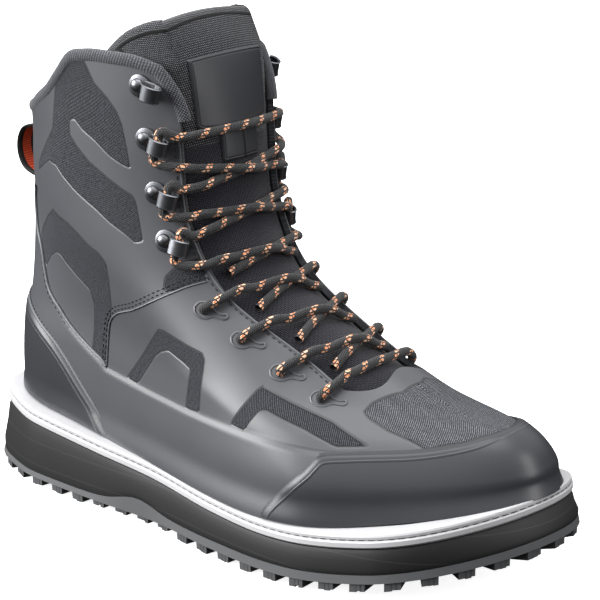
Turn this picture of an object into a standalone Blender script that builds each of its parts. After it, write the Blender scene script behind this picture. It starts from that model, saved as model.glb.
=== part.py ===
"""Lace-up wading boot for the right foot, standing empty on its sole.

X runs from the heel to the toe, Y from the outer side of the foot (negative) to the inner side, and Z up.
The origin is on the floor under the middle of the heel. Sizes are in metres.
"""

import math

import bmesh
import bpy
import numpy as np
from mathutils import Matrix

# Main sizes of the boot
LENGTH = 0.318
BALL_WIDTH = 0.119
COLLAR_HEIGHT = 0.219
HEEL_CENTRE = 0.047

# Sole stack
LUG_HEIGHT = 0.0042
OUTSOLE_HEEL = 0.0066
OUTSOLE_BALL = 0.0080
SHANK_RISE = 0.0048
STACK_HEEL = 0.0326
STACK_BALL = 0.0193
TOE_SPRING = 0.0205
WELT_HEIGHT = 0.0070
WELT_WIDTH = 0.0130
WELT_BEAD = 0.0006
OUTSOLE_INSET = 0.0015
STACK_INSET = 0.0024
END_TUCK = 0.0038
HEEL_REACH = 0.19
TOE_REACH = 0.12
INSOLE_THICKNESS = 0.0070
LUG_PITCH = 0.0145
LUG_LENGTH = 0.0085
LUG_DEPTH = 0.0120
LUG_RELIEF = 0.0015
CENTRE_LUG = 0.0130
CENTRE_LUG_PITCH = 0.0205

# Upper, its overlays and the tongue
WALL = 0.0026
GAP = 0.0003
OVERLAY_GAP = 0.00085
OVERLAY_ROW = 0.06
TOE_CAP_WALL = 0.0012
COUNTER_WALL = 0.0011
RAND_WALL = 0.0008
BINDING_HEIGHT = 0.0046
BINDING_WIDTH = 0.0036
TONGUE_GAP = 0.0012
TONGUE_VAMP = 0.0045
TONGUE_TOP = 0.0095
PLATE_WALL = 0.0010
PLATE_GAP = 0.0005

# Laces and hardware
LACE_DIAMETER = 0.0042
LACE_GAP = 0.0007
EYELET_HOLE = 0.0048
HOOK_PLATE = 0.0124
HOOK_SHEET = 0.0009
HOOK_GAP = 0.0005
RIVET_DIAMETER = 0.0066
RIVET_HEIGHT = 0.0023
TAB_WIDTH = 0.0074
TAB_START = 0.45
TAB_REACH = 0.0095
TAB_LIFT = 0.0076

# Pull loop
LOOP_WIDTH = 0.0125
LOOP_SHEET = 0.0017
LOOP_HEIGHT = 0.0250
LOOP_REACH = 0.0160
LOOP_ROW = 5.80

# Number of points round a sole outline, and of facets elsewhere
OUTLINE_POINTS = 52
SIDE_COLUMNS = 19
FRONT_COLUMNS = 5

# Sole outline. Along: share of LENGTH. Outer, inner: half widths as shares of BALL_WIDTH.
SOLE_ALONG = (0.00, 0.08, 0.17, 0.30, 0.42, 0.55, 0.67, 0.78, 0.88, 1.00)
SOLE_OUTER = (0.39, 0.36, 0.390, 0.414, 0.424, 0.484, 0.519, 0.521, 0.512, 0.489)
SOLE_INNER = (0.37, 0.34, 0.315, 0.294, 0.311, 0.387, 0.458, 0.478, 0.440, 0.425)
SOLE_HEEL_ROUND = 0.157
SOLE_TOE_ROUND = 0.172
SOLE_SWING = 0.118
SPRING_START = 0.61

# The upper is a stack of rings, each from a point on the back seam to a point on the front ridge. Back and
# front: place along, as a share of LENGTH, and height, as a share of COLLAR_HEIGHT. Heel, waist, ball and toe:
# half widths at RING_ALONG, as shares of BALL_WIDTH. Nose and round: length of the rounded front and back
# end, as shares of the ring. Swing: how far the front end leans to the inner side, as a share of BALL_WIDTH.
# Throat: where the throat's edge lies, as a share of the ring.
RING_ALONG = (0.10, 0.35, 0.68, 0.88)
RINGS = (
    # back x, back z, front x, front z, heel, waist, ball, toe, nose, round, swing, throat
    (0.047, 0.183, 0.966, 0.215, 0.272, 0.328, 0.437, 0.378, 0.28, 0.15, 0.10, 0.930),
    (0.049, 0.265, 0.966, 0.260, 0.286, 0.336, 0.437, 0.387, 0.30, 0.15, 0.10, 0.920),
    (0.056, 0.356, 0.932, 0.312, 0.286, 0.328, 0.403, 0.345, 0.40, 0.15, 0.08, 0.905),
    (0.067, 0.447, 0.833, 0.347, 0.277, 0.319, 0.378, 0.336, 0.54, 0.17, 0.05, 0.880),
    (0.072, 0.539, 0.720, 0.416, 0.269, 0.328, 0.353, 0.319, 0.56, 0.20, 0.02, 0.866),
    (0.075, 0.630, 0.607, 0.502, 0.269, 0.336, 0.345, 0.319, 0.56, 0.24, 0.01, 0.812),
    (0.074, 0.721, 0.547, 0.626, 0.277, 0.336, 0.336, 0.319, 0.50, 0.28, 0.00, 0.797),
    (0.074, 0.781, 0.528, 0.767, 0.277, 0.336, 0.336, 0.319, 0.46, 0.30, 0.00, 0.805),
    (0.072, 0.826, 0.525, 0.932, 0.277, 0.336, 0.336, 0.319, 0.44, 0.30, 0.00, 0.800),
)
TOP_ROW = len(RINGS) - 1
WAIST_LEAN = 0.025
COLLAR_DROP = 0.0049

# Rise of the collar's edge above the straight line of the top ring, as a share of COLLAR_HEIGHT
COLLAR_ALONG = (0.00, 0.10, 0.20, 0.28, 0.34, 0.39, 0.45, 0.57, 0.66, 0.73, 0.85, 1.00)
COLLAR_RISE = (0.005, 0.012, 0.036, 0.058, 0.090, 0.119, 0.123, 0.114, 0.102, 0.082, 0.050, 0.027)
CORNER_ROW = 7.4
CORNER_SHARE = 0.07

# Throat: the row of its lower corners, and how much further forward its middle lies
THROAT_ROW = 3.32
THROAT_BOW = 0.48

# Rows of the upper's grid
UPPER_ROWS = (0.0, 0.6, 1.2, 1.7, 2.2, 2.75, THROAT_ROW, 3.85, 4.3, 4.7, 5.1, 5.5, 6.0, 6.7, 7.45, 7.75, 8.0)

# Overlays on the lower part of the upper, by angle round it and row up it
CAP_ANGLES = (1.88, 2.08)
CAP_TOP = ((2.03, 1.58), (2.10, 1.73), (2.20, 1.80), (2.42, 1.88), (2.70, 2.07), (2.94, 2.22), (3.15, 2.27))
COUNTER_ANGLES = (1.14, 1.04)
COUNTER_TOP = ((0.00, 2.60), (0.35, 2.48), (0.56, 2.32), (0.68, 2.15), (0.80, 1.87), (0.91, 1.42), (1.04, 0.74))
RAND_TOP = 1.72
RAND_ANGLES = (1.175, 0.90)
SEAM_ANGLE = 0.005

# Middle line of the tongue's face. Row: the row of the upper beside it. Along, height: as shares of LENGTH and
# COLLAR_HEIGHT. Lift and lean: how far its sides go on above the collar and backwards, in the same shares.
TONGUE = (
    # row, along, height, lift, lean
    (2.40, 0.830, 0.300, 0.000, 0.000),
    (3.00, 0.777, 0.337, 0.000, 0.000),
    (4.00, 0.657, 0.425, 0.000, 0.000),
    (5.00, 0.531, 0.525, 0.000, 0.000),
    (6.00, 0.472, 0.667, 0.000, 0.000),
    (7.00, 0.461, 0.804, 0.000, 0.000),
    (8.00, 0.437, 0.985, 0.032, 0.006),
    (9.00, 0.393, 1.080, 0.118, 0.034),
)
TONGUE_MARGIN = 0.22
TONGUE_FLARE = 1.35
TONGUE_ROWS = (2.4, 2.85, 3.3, 3.75, 4.2, 4.6, 5.0, 5.4, 5.8, 6.3, 6.9, 7.5, 8.0, 8.5, 9.0)
PLATE_ROWS = (6.80, 7.20, 7.26, 7.64, 8.06)
PLATE_HALF = (0.42, 0.42, 0.80, 0.82, 0.84)

# Hooks and eyelets: share along the ring, and row, on each side of the throat, from the top down
HOOKS = ((0.685, 7.76), (0.700, 7.06), (0.712, 6.31), (0.708, 5.60))
EYELETS = ((0.715, 4.53), (0.751, 4.06), (0.780, 3.51), (0.815, 3.06))
# Rows at which the laces cross the throat's edges, from the bottom up: four eyelets, then four hooks
LACE_ROWS = (3.42, 3.92, 4.44, 4.92, 5.60, 6.30, 7.04, 7.76)
HOOK_ROWS = 0.22
HOOK_LOW_ROWS = 0.20


def smooth_step(share):
    """0 to 1 with level ends."""
    share = np.clip(share, 0.0, 1.0)
    return share * share * (3.0 - 2.0 * share)


def round_end(distance, length):
    """The closing of an outline at its end: 0 at the tip, 1 from the given length on, as a quarter ellipse."""
    return np.sqrt(np.clip(1.0 - np.clip(1.0 - distance / length, 0.0, 1.0) ** 2, 0.0, 1.0))


def smooth_table(stations, values, at):
    """Values at the stations joined by a smooth curve. The last axis of values runs along the stations."""
    stations = np.asarray(stations, float)
    values = np.asarray(values, float)
    at = np.asarray(at, float)
    slopes = np.gradient(values, stations, axis=-1)
    left = np.clip(np.searchsorted(stations, at) - 1, 0, len(stations) - 2)
    width = stations[left + 1] - stations[left]
    share = np.clip((at - stations[left]) / width, 0.0, 1.0)

    def pick(array, index):
        if array.ndim == 1:
            return array[index]
        return np.take_along_axis(array, index[..., None], axis=-1)[..., 0]

    start, end = pick(values, left), pick(values, left + 1)
    leave, arrive = pick(slopes, left) * width, pick(slopes, left + 1) * width
    return (
        (2 * share**3 - 3 * share**2 + 1) * start
        + (share**3 - 2 * share**2 + share) * leave
        + (-2 * share**3 + 3 * share**2) * end
        + (share**3 - share**2) * arrive
    )


def ring_values(row):
    """The columns of RINGS at any row, on a smooth curve through the table's rows."""
    table = np.array(RINGS)
    row = np.clip(np.asarray(row, float), 0.0, TOP_ROW)
    below = np.minimum(row.astype(int), TOP_ROW - 1)
    share = (row - below)[..., None]
    one, two = table[below], table[below + 1]
    before = np.where((below > 0)[..., None], table[np.maximum(below - 1, 0)], 2 * one - two)
    after = np.where((below < TOP_ROW - 1)[..., None], table[np.minimum(below + 2, TOP_ROW)], 2 * two - one)
    return one + 0.5 * share * (
        two - before + share * (2 * before - 5 * one + 4 * two - after + share * (3 * (one - two) + after - before))
    )


def toe_spring(along):
    """How far the sole's underside is off the floor, at a distance from the back of the heel."""
    start = SPRING_START * LENGTH
    return TOE_SPRING * np.clip((along - start) / (LENGTH - start), 0.0, None) ** 2


def heel_to_ball(along, heel, ball):
    """A height that changes from the heel's to the ball's."""
    return heel + (ball - heel) * smooth_step((along / LENGTH - 0.19) / 0.47)


def outsole_top(along):
    bump = SHANK_RISE * np.exp(-(((along / LENGTH - 0.385) / 0.050) ** 2))
    return heel_to_ball(along, OUTSOLE_HEEL, OUTSOLE_BALL) + bump + toe_spring(along)


def stack_top(along):
    return STACK_HEEL + (STACK_BALL - STACK_HEEL) * smooth_step(along / LENGTH / 0.68) + toe_spring(along)


def upper_skin(angle, row):
    """A point of the upper's outer face. Angle 0 is the back seam, pi the front ridge, by the outer side."""
    angle, row = np.broadcast_arrays(np.asarray(angle, float), np.asarray(row, float))
    ring = ring_values(row)
    back_x, back_z, front_x, front_z = (ring[..., k] for k in range(4))
    widths = ring[..., 4:8]
    nose, back_round, swing = (ring[..., k] for k in (8, 9, 10))
    share = (1.0 - np.cos(angle)) / 2.0
    side = np.where(np.sin(angle) >= 0.0, -1.0, 1.0)
    stations = (0.0,) + RING_ALONG + (1.0,)
    widths = np.concatenate([widths[..., :1], widths, widths[..., 3:]], axis=-1)
    half = BALL_WIDTH * smooth_table(stations, widths, share)
    half = half * round_end(share, back_round) * round_end(1.0 - share, nose)
    along = LENGTH * (back_x + share * (front_x - back_x))
    height = COLLAR_HEIGHT * (back_z + share * (front_z - back_z))
    foot = RINGS[0]
    foot_along = LENGTH * (foot[0] + share * (foot[2] - foot[0]))
    foot_line = COLLAR_HEIGHT * (foot[1] + share * (foot[3] - foot[1]))
    up = np.clip(row, 0.0, TOP_ROW) / TOP_ROW
    height = height + (stack_top(foot_along) + WELT_HEIGHT + GAP - foot_line) * (1.0 - up) ** 3
    collar = COLLAR_HEIGHT * smooth_table(COLLAR_ALONG, COLLAR_RISE, share)
    shaft = np.clip(2.0 * up - 1.0, 0.0, 1.0)
    height = height + collar * shaft**2 - COLLAR_DROP * shaft**6
    middle = BALL_WIDTH * swing * smooth_step((share - 0.70) / 0.30)
    middle = middle - BALL_WIDTH * WAIST_LEAN * np.sin(math.pi * np.clip(share / 0.8, 0.0, 1.0)) * (1.0 - up)
    return np.stack([along - HEEL_CENTRE, middle + side * half, height], axis=-1)


def surface_normal(surface, first, second):
    """Unit normal of a surface given by a function of two numbers, from small steps along each."""
    step = 1e-3
    across = surface(first + step, second) - surface(first - step, second)
    up = surface(first, second + step) - surface(first, second - step)
    normal = np.cross(across, up)
    return normal / np.linalg.norm(normal, axis=-1, keepdims=True)


def upper_point(angle, row, depth=0.0):
    """A point of the upper at a depth under its outer face, or above it where the depth is negative."""
    angle, row = np.broadcast_arrays(np.asarray(angle, float), np.asarray(row, float))
    inside = np.clip(row, 1e-3, TOP_ROW - 1e-3)
    return upper_skin(angle, row) - depth * surface_normal(upper_skin, angle, inside)


def throat_angle(row):
    """Angle of the throat's edge on the outer side. Its top corner is rounded off."""
    row = np.asarray(row, float)
    corner = CORNER_SHARE * np.clip((row - CORNER_ROW) / (TOP_ROW - CORNER_ROW), 0.0, 1.0) ** 2
    share = ring_values(row)[..., 11] - corner
    return np.arccos(1.0 - 2.0 * share)


def throat_row(angle):
    """Row of the throat's lower edge: level outside its corners and bowed towards the toe between them."""
    corner = throat_angle(THROAT_ROW)
    return THROAT_ROW + THROAT_BOW * smooth_step((angle - corner) / (math.pi - corner))


def share_angle(share):
    return math.acos(1.0 - 2.0 * share)


def make_material(name, colour, roughness, metallic=0.0):
    material = bpy.data.materials.new(name)
    material.use_nodes = True
    shader = material.node_tree.nodes["Principled BSDF"]
    shader.inputs["Base Color"].default_value = (*colour, 1.0)
    shader.inputs["Roughness"].default_value = roughness
    shader.inputs["Metallic"].default_value = metallic
    return material


def add_object(name, mesh, material, helper=False):
    """A new object for the mesh. A helper only cuts or joins."""
    made = bpy.data.objects.new(name, mesh)
    bpy.context.scene.collection.objects.link(made)
    if material:
        mesh.materials.append(material)
    if helper:
        made.hide_render = True
        made.display_type = "WIRE"
    return made


def finish_mesh(name, bm, smooth_angle=None):
    bmesh.ops.recalc_face_normals(bm, faces=bm.faces[:])
    mesh = bpy.data.meshes.new(name)
    bm.to_mesh(mesh)
    bm.free()
    if smooth_angle is not None:
        mesh.shade_smooth()
        mesh.set_sharp_from_angle(angle=smooth_angle)
    return mesh


def moved_grid(bm, points):
    """A grid of faces whose vertices are moved to the points, given row by row."""
    rows, columns = points.shape[:2]
    made = bmesh.ops.create_grid(bm, x_segments=columns - 1, y_segments=rows - 1, size=0.5)
    for vert, point in zip(made["verts"], points.reshape(-1, 3)):
        vert.co = point
    return made["verts"]


def shell_mesh(name, points, thickness, opening=(), smooth_angle=0.6):
    """A wall with its outer face on a grid of points. Opening lists the cells to cut out, by row and column."""
    columns = points.shape[1]
    bm = bmesh.new()
    verts = moved_grid(bm, points)
    cut = []
    for i, j in opening:
        corner = verts[i * columns + j]
        across = verts[(i + 1) * columns + j + 1]
        cut += [face for face in corner.link_faces if across in face.verts]
    bmesh.ops.delete(bm, geom=cut, context="FACES")
    bmesh.ops.remove_doubles(bm, verts=bm.verts[:], dist=1e-7)
    bm.normal_update()
    bmesh.ops.solidify(bm, geom=bm.faces[:], thickness=thickness)
    return finish_mesh(name, bm, smooth_angle)


def sole_outline(inset):
    """Points round the sole, from the back of the heel by the outer side, moved inwards by the inset."""

    def outline(angle):
        share = (1.0 - np.cos(angle)) / 2.0
        outer_side = np.sin(angle) >= 0.0
        outer = smooth_table(SOLE_ALONG, SOLE_OUTER, share)
        inner = smooth_table(SOLE_ALONG, SOLE_INNER, share)
        half = np.where(outer_side, -outer, inner) * BALL_WIDTH
        half = half * round_end(share, SOLE_HEEL_ROUND) * round_end(1.0 - share, SOLE_TOE_ROUND)
        middle = SOLE_SWING * BALL_WIDTH * smooth_step((share - 0.70) / 0.30)
        return np.stack([LENGTH * share, middle + half], axis=-1)

    angles = 2.0 * math.pi * np.arange(OUTLINE_POINTS) / OUTLINE_POINTS
    step = 1e-3
    tangent = outline(angles + step) - outline(angles - step)
    tangent = tangent / np.linalg.norm(tangent, axis=-1, keepdims=True)
    inwards = np.stack([-tangent[:, 1], tangent[:, 0]], axis=-1)
    return outline(angles) + inset * inwards


def sole_ring(inset, height, tuck=1.0):
    """A closed ring on the sole's side. Height is a function of the distance along the sole.

    The stack narrows upwards at its two ends: tuck is the share of it at this ring."""
    plan = sole_outline(inset)
    drawn = sole_outline(inset + END_TUCK)
    along = plan[:, 0] / LENGTH
    heel, toe = 1.0 - along / HEEL_REACH, 1.0 - (1.0 - along) / TOE_REACH
    share = tuck * np.clip(np.maximum(heel, toe), 0.0, 1.0)[:, None] ** 1.5
    plan = plan + (drawn - plan) * share
    return np.stack([plan[:, 0] - HEEL_CENTRE, plan[:, 1], height(plan[:, 0])], axis=-1)


def closed_ring(bm, points):
    """Edges of a closed ring through the points."""
    verts = [bm.verts.new(point) for point in points]
    return [bm.edges.new((one, two)) for one, two in zip(verts, verts[1:] + verts[:1])]


def slab_mesh(name, rings):
    """A solid between its lowest and highest ring, closed by strips that run across the sole."""
    bm = bmesh.new()
    levels = [closed_ring(bm, ring) for ring in rings]
    for low, high in zip(levels, levels[1:]):
        bmesh.ops.bridge_loops(bm, edges=low + high)
    for level in (levels[0], levels[-1]):
        half = len(level) // 2
        cap = bmesh.ops.contextual_create(bm, geom=level)["faces"]
        ends = [edge.verts[0] for edge in level]
        pairs = [(ends[k], ends[-k]) for k in range(1, half)]
        for one, two in pairs:
            bmesh.ops.connect_verts(bm, verts=[one, two])
    return finish_mesh(name, bm, 0.6)


def loft(bm, sections, ring=False):
    """A skin through closed sections. Its ends are capped, unless it runs round into a ring."""
    loops = [closed_ring(bm, section) for section in sections]
    for one, two in zip(loops, loops[1:]):
        bmesh.ops.bridge_loops(bm, edges=one + two)
    if ring:
        bmesh.ops.bridge_loops(bm, edges=loops[-1] + loops[0])
        return
    for end in (loops[0], loops[-1]):
        bmesh.ops.contextual_create(bm, geom=end)


def join_solids(target, others):
    """Joins helper solids to the target, one Boolean union each."""
    for other in others:
        union = target.modifiers.new("join " + other.name, "BOOLEAN")
        union.operation = "UNION"
        union.solver = "EXACT"
        union.object = other


def lug_block(bm, centre, heading, length, depth, relief):
    """One tread block. Its foot follows the toe spring and its top goes into the outsole's plate."""
    made = bmesh.ops.create_cube(bm, size=1.0)
    forward = np.array([math.cos(heading), math.sin(heading)])
    across = np.array([-forward[1], forward[0]])
    for vert in made["verts"]:
        x, y = centre + vert.co.x * length * forward + vert.co.y * depth * across
        height = LUG_HEIGHT + 0.0008 if vert.co.z > 0.0 else relief
        vert.co = (x - HEEL_CENTRE, y, toe_spring(x) + height)


def arch_relief(along):
    """The blocks under the arch stop a little above the floor."""
    share = along / LENGTH
    return LUG_RELIEF if 0.30 < share < 0.47 else 0.0


def outline_walk(plan, pitch):
    """Even places along a closed outline: point and heading."""
    closed = np.vstack([plan, plan[:1]])
    legs = np.linalg.norm(np.diff(closed, axis=0), axis=1)
    distance = np.concatenate([[0.0], np.cumsum(legs)])
    count = int(distance[-1] / pitch)
    for k in range(count):
        at = (k + 0.5) * distance[-1] / count
        leg = int(np.searchsorted(distance, at)) - 1
        share = (at - distance[leg]) / legs[leg]
        step = closed[leg + 1] - closed[leg]
        yield closed[leg] + share * step, math.atan2(step[1], step[0])


def make_tread():
    """All tread blocks in one mesh: a row round the edge, and a grid of larger blocks inside it."""
    bm = bmesh.new()
    for place, heading in outline_walk(sole_outline(OUTSOLE_INSET + LUG_DEPTH / 2), LUG_PITCH):
        lug_block(bm, place, heading, LUG_LENGTH, LUG_DEPTH, arch_relief(place[0]))
    field = sole_outline(OUTSOLE_INSET + LUG_DEPTH + 0.6 * CENTRE_LUG + 0.0015)
    half = OUTLINE_POINTS // 2
    outer, inner = field[: half + 1], np.vstack([field[:1], field[half:][::-1]])
    steps = int(LENGTH / CENTRE_LUG_PITCH)
    for i in range(-steps, steps):
        along = HEEL_CENTRE + i * CENTRE_LUG_PITCH
        if not field[:, 0].min() < along < field[:, 0].max():
            continue
        low = np.interp(along, outer[:, 0], outer[:, 1])
        high = np.interp(along, inner[:, 0], inner[:, 1])
        for j in range(-3, 4):
            across = j * CENTRE_LUG_PITCH
            if low - 0.001 <= across <= high + 0.001:
                relief = arch_relief(along)
                lug_block(bm, np.array([along, across]), 0.0, CENTRE_LUG, CENTRE_LUG, relief)
    return finish_mesh("tread", bm)


def make_sole(rubber, foam, welt_material):
    plate = [
        sole_ring(OUTSOLE_INSET * 0.5, lambda x: toe_spring(x) + LUG_HEIGHT, 0.0),
        sole_ring(OUTSOLE_INSET, outsole_top, 0.0),
    ]
    outsole = add_object("outsole", slab_mesh("outsole", plate), rubber)
    tread = add_object("tread blocks", make_tread(), rubber, helper=True)
    join_solids(outsole, [tread])

    def level(share):
        return lambda x: outsole_top(x) + GAP + share * (stack_top(x) - outsole_top(x) - GAP)

    wedge = [
        sole_ring(OUTSOLE_INSET, level(0.0), 0.0),
        sole_ring(OUTSOLE_INSET * 0.8, level(0.18), 0.1),
        sole_ring(STACK_INSET * 0.9, level(0.85), 0.85),
        sole_ring(STACK_INSET + 0.0006, level(1.0)),
    ]
    add_object("midsole", slab_mesh("midsole", wedge), foam)
    profile = (
        # inset from the stack's outline, height over it
        (STACK_INSET, GAP),
        (STACK_INSET - WELT_BEAD, 0.0016),
        (STACK_INSET - WELT_BEAD, 0.0034),
        (STACK_INSET + WELT_BEAD, 0.0039),
        (STACK_INSET + WELT_BEAD, 0.0062),
        (STACK_INSET + 2 * WELT_BEAD, WELT_HEIGHT),
        (STACK_INSET + WELT_WIDTH, WELT_HEIGHT),
        (STACK_INSET + WELT_WIDTH, GAP),
    )
    rings = [sole_ring(inset, lambda x, height=height: stack_top(x) + height) for inset, height in profile]
    bm = bmesh.new()
    loft(bm, rings, ring=True)
    add_object("welt", finish_mesh("welt", bm, 0.6), welt_material)


def make_insole(material):
    inset = STACK_INSET + WELT_WIDTH + 2 * GAP
    rings = [
        sole_ring(inset, lambda x: stack_top(x) + GAP),
        sole_ring(inset, lambda x: stack_top(x) + INSOLE_THICKNESS),
    ]
    add_object("insole", slab_mesh("insole", rings), material)


def upper_grid():
    """Points of the upper's outer face, and the cells of the throat. Its columns meet the throat's edges."""
    rows = []
    angles = []
    low = UPPER_ROWS[4]
    for line in UPPER_ROWS:
        edge = throat_angle(line)
        side = [edge * k / SIDE_COLUMNS for k in range(SIDE_COLUMNS)]
        front = [edge + (math.pi - edge) * k / FRONT_COLUMNS for k in range(FRONT_COLUMNS + 1)]
        half = np.array(side + front)
        lifted = np.full(len(half), line)
        if low < line <= THROAT_ROW:
            lifted = low + (line - low) * (throat_row(half) - low) / (THROAT_ROW - low)
        angles.append(np.concatenate([half, 2.0 * math.pi - half[-2::-1]]))
        rows.append(np.concatenate([lifted, lifted[-2::-1]]))
    throat_columns = range(SIDE_COLUMNS, SIDE_COLUMNS + 2 * FRONT_COLUMNS)
    throat = [(i, j) for i in range(UPPER_ROWS.index(THROAT_ROW), len(UPPER_ROWS) - 1) for j in throat_columns]
    return upper_point(np.array(angles), np.array(rows)), throat


def make_upper(material):
    points, throat = upper_grid()
    upper = add_object("upper", shell_mesh("upper", points, WALL, throat), material)
    bm = bmesh.new()
    for share, row in EYELETS:
        for mirrored in (False, True):
            frame = surface_frame(share, row, mirrored)
            bmesh.ops.create_cone(
                bm,
                cap_ends=True,
                segments=10,
                radius1=EYELET_HOLE / 2,
                radius2=EYELET_HOLE / 2,
                depth=6 * WALL,
                matrix=frame,
            )
    holes = add_object("eyelet holes", finish_mesh("eyelet holes", bm), None, helper=True)
    cut = upper.modifiers.new("eyelet holes", "BOOLEAN")
    cut.operation = "DIFFERENCE"
    cut.solver = "EXACT"
    cut.object = holes


def surface_frame(share, row, mirrored):
    """Matrix of a fitting on the upper: X towards the throat, Y up along the wall, Z out of it."""
    angle = share_angle(share)
    if mirrored:
        angle = 2.0 * math.pi - angle
    place = upper_point(angle, row)
    out = surface_normal(upper_skin, np.array(angle), np.array(float(row)))
    forward = upper_skin(angle + (-1e-3 if mirrored else 1e-3), row) - place
    forward = forward - out * np.dot(forward, out)
    forward = forward / np.linalg.norm(forward)
    up = np.cross(out, forward)
    return Matrix([[forward[k], up[k], out[k], place[k]] for k in range(3)] + [[0.0, 0.0, 0.0, 1.0]])


def overlay(name, material, edges, top, wall, sides, columns, rows):
    """A thin wall over the upper. Edges: the angles of its two ends at a share of its height."""
    share = np.linspace(0.0, 1.0, columns + 1)[None, :]
    up = np.linspace(0.0, 1.0, rows + 1)[:, None]
    start, end = edges(up)
    angles = start + (end - start) * share
    lines = OVERLAY_ROW + (top(np.abs(angles)) - OVERLAY_ROW) * up
    if sides < 0:
        angles, lines = -angles[:, ::-1], lines[:, ::-1]
    points = upper_point(angles, lines, -OVERLAY_GAP - wall)
    add_object(name, shell_mesh(name, points, wall), material)


def make_overlays(rubber):
    def cap_edge(up):
        return CAP_ANGLES[0] + (CAP_ANGLES[1] - CAP_ANGLES[0]) * up**1.6

    def counter_edge(up):
        return COUNTER_ANGLES[0] + (COUNTER_ANGLES[1] - COUNTER_ANGLES[0]) * up

    cap_at, cap_row = zip(*CAP_TOP)
    counter_at, counter_row = zip(*COUNTER_TOP)

    def cap_top(angle):
        return smooth_table(cap_at, cap_row, np.where(angle > math.pi, 2.0 * math.pi - angle, angle))

    def counter_top(angle):
        return smooth_table(counter_at, counter_row, angle)

    def cap_ends(up):
        return cap_edge(up), 2.0 * math.pi - cap_edge(up)

    def counter_ends(up):
        return -counter_edge(up), counter_edge(up)

    overlay("toe_cap", rubber, cap_ends, cap_top, TOE_CAP_WALL, 1, 28, 7)
    overlay("heel_counter", rubber, counter_ends, counter_top, COUNTER_WALL, 1, 24, 6)
    for name, side in (("rand_lateral", 1), ("rand_medial", -1)):
        overlay(
            name,
            rubber,
            lambda up: (RAND_ANGLES[0] + (RAND_ANGLES[1] - RAND_ANGLES[0]) * up, cap_edge(up) - SEAM_ANGLE),
            lambda angle: np.full_like(angle, RAND_TOP),
            RAND_WALL,
            side,
            16,
            4,
        )


def make_binding(material):
    """The padded band on the collar's edge, from one front corner round the back to the other."""
    path = [(float(throat_angle(row)), row) for row in UPPER_ROWS[-3:-1]]
    corner = float(throat_angle(TOP_ROW))
    path += [(corner * (1.0 - k / SIDE_COLUMNS), float(TOP_ROW)) for k in range(SIDE_COLUMNS + 1)]
    path += [(2.0 * math.pi - angle, row) for angle, row in path[-2::-1]]
    angles, rows = np.array(path).T
    edge = upper_point(angles, rows, WALL / 2)
    out = surface_normal(upper_skin, angles, np.minimum(rows, TOP_ROW - 1e-3))
    run = np.gradient(edge, axis=0)
    away = np.cross(run, out)
    away = away / np.linalg.norm(away, axis=-1, keepdims=True)
    turns = 2.0 * math.pi * (np.arange(8) + 0.5) / 8
    sections = []
    for k in range(len(path)):
        centre = edge[k] + away[k] * (BINDING_HEIGHT / 2 + GAP)
        wide = out[k] * BINDING_WIDTH / 2
        high = away[k] * BINDING_HEIGHT / 2
        sections.append([centre + wide * math.cos(turn) + high * math.sin(turn) for turn in turns])
    bm = bmesh.new()
    loft(bm, sections)
    add_object("collar_binding", finish_mesh("collar_binding", bm, 0.9), material)


def tongue_skin(across, row):
    """A point of the tongue's front face. Across is -1 at the throat's outer edge and 1 at its inner edge."""
    across, row = np.broadcast_arrays(np.asarray(across, float), np.asarray(row, float))
    table = np.array(TONGUE)
    along, height, lift, lean = (smooth_table(table[:, 0], table[:, k], row) for k in range(1, 5))
    on_upper = np.clip(row, 0.0, TOP_ROW)
    beyond = np.clip(np.abs(across) - 1.0, 0.0, None)
    wider = 1.0 + TONGUE_FLARE * smooth_step((row - 6.5) / 2.0)
    angle = throat_angle(np.minimum(on_upper, CORNER_ROW)) - beyond * wider
    side = np.where(across < 0.0, angle, 2.0 * math.pi - angle)
    edge = upper_point(side, on_upper, WALL + TONGUE_GAP)
    lift = lift * (1.0 - 0.95 * (beyond / TONGUE_MARGIN) ** 1.5)
    edge = edge + np.stack([-lean * LENGTH, np.zeros_like(lean), lift * COLLAR_HEIGHT], axis=-1)
    middle = np.stack([along * LENGTH - HEEL_CENTRE, np.zeros_like(along), height * COLLAR_HEIGHT], axis=-1)
    inside = np.clip(np.abs(across), 0.0, 1.0)
    bend = (inside**2)[..., None]
    point = middle + (edge - middle) * bend
    point[..., 1] = edge[..., 1] * inside
    return point


def tongue_point(across, row, depth):
    across, row = np.broadcast_arrays(np.asarray(across, float), np.asarray(row, float))
    lowest, highest = TONGUE[0][0], TONGUE[-1][0]
    normal = surface_normal(tongue_skin, across, np.clip(row, lowest + 1e-3, highest - 1e-3))
    return tongue_skin(across, row) - np.asarray(depth)[..., None] * normal


def tongue_thickness(row):
    return TONGUE_VAMP + (TONGUE_TOP - TONGUE_VAMP) * smooth_step((np.asarray(row, float) - 4.0) / 4.0)


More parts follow.
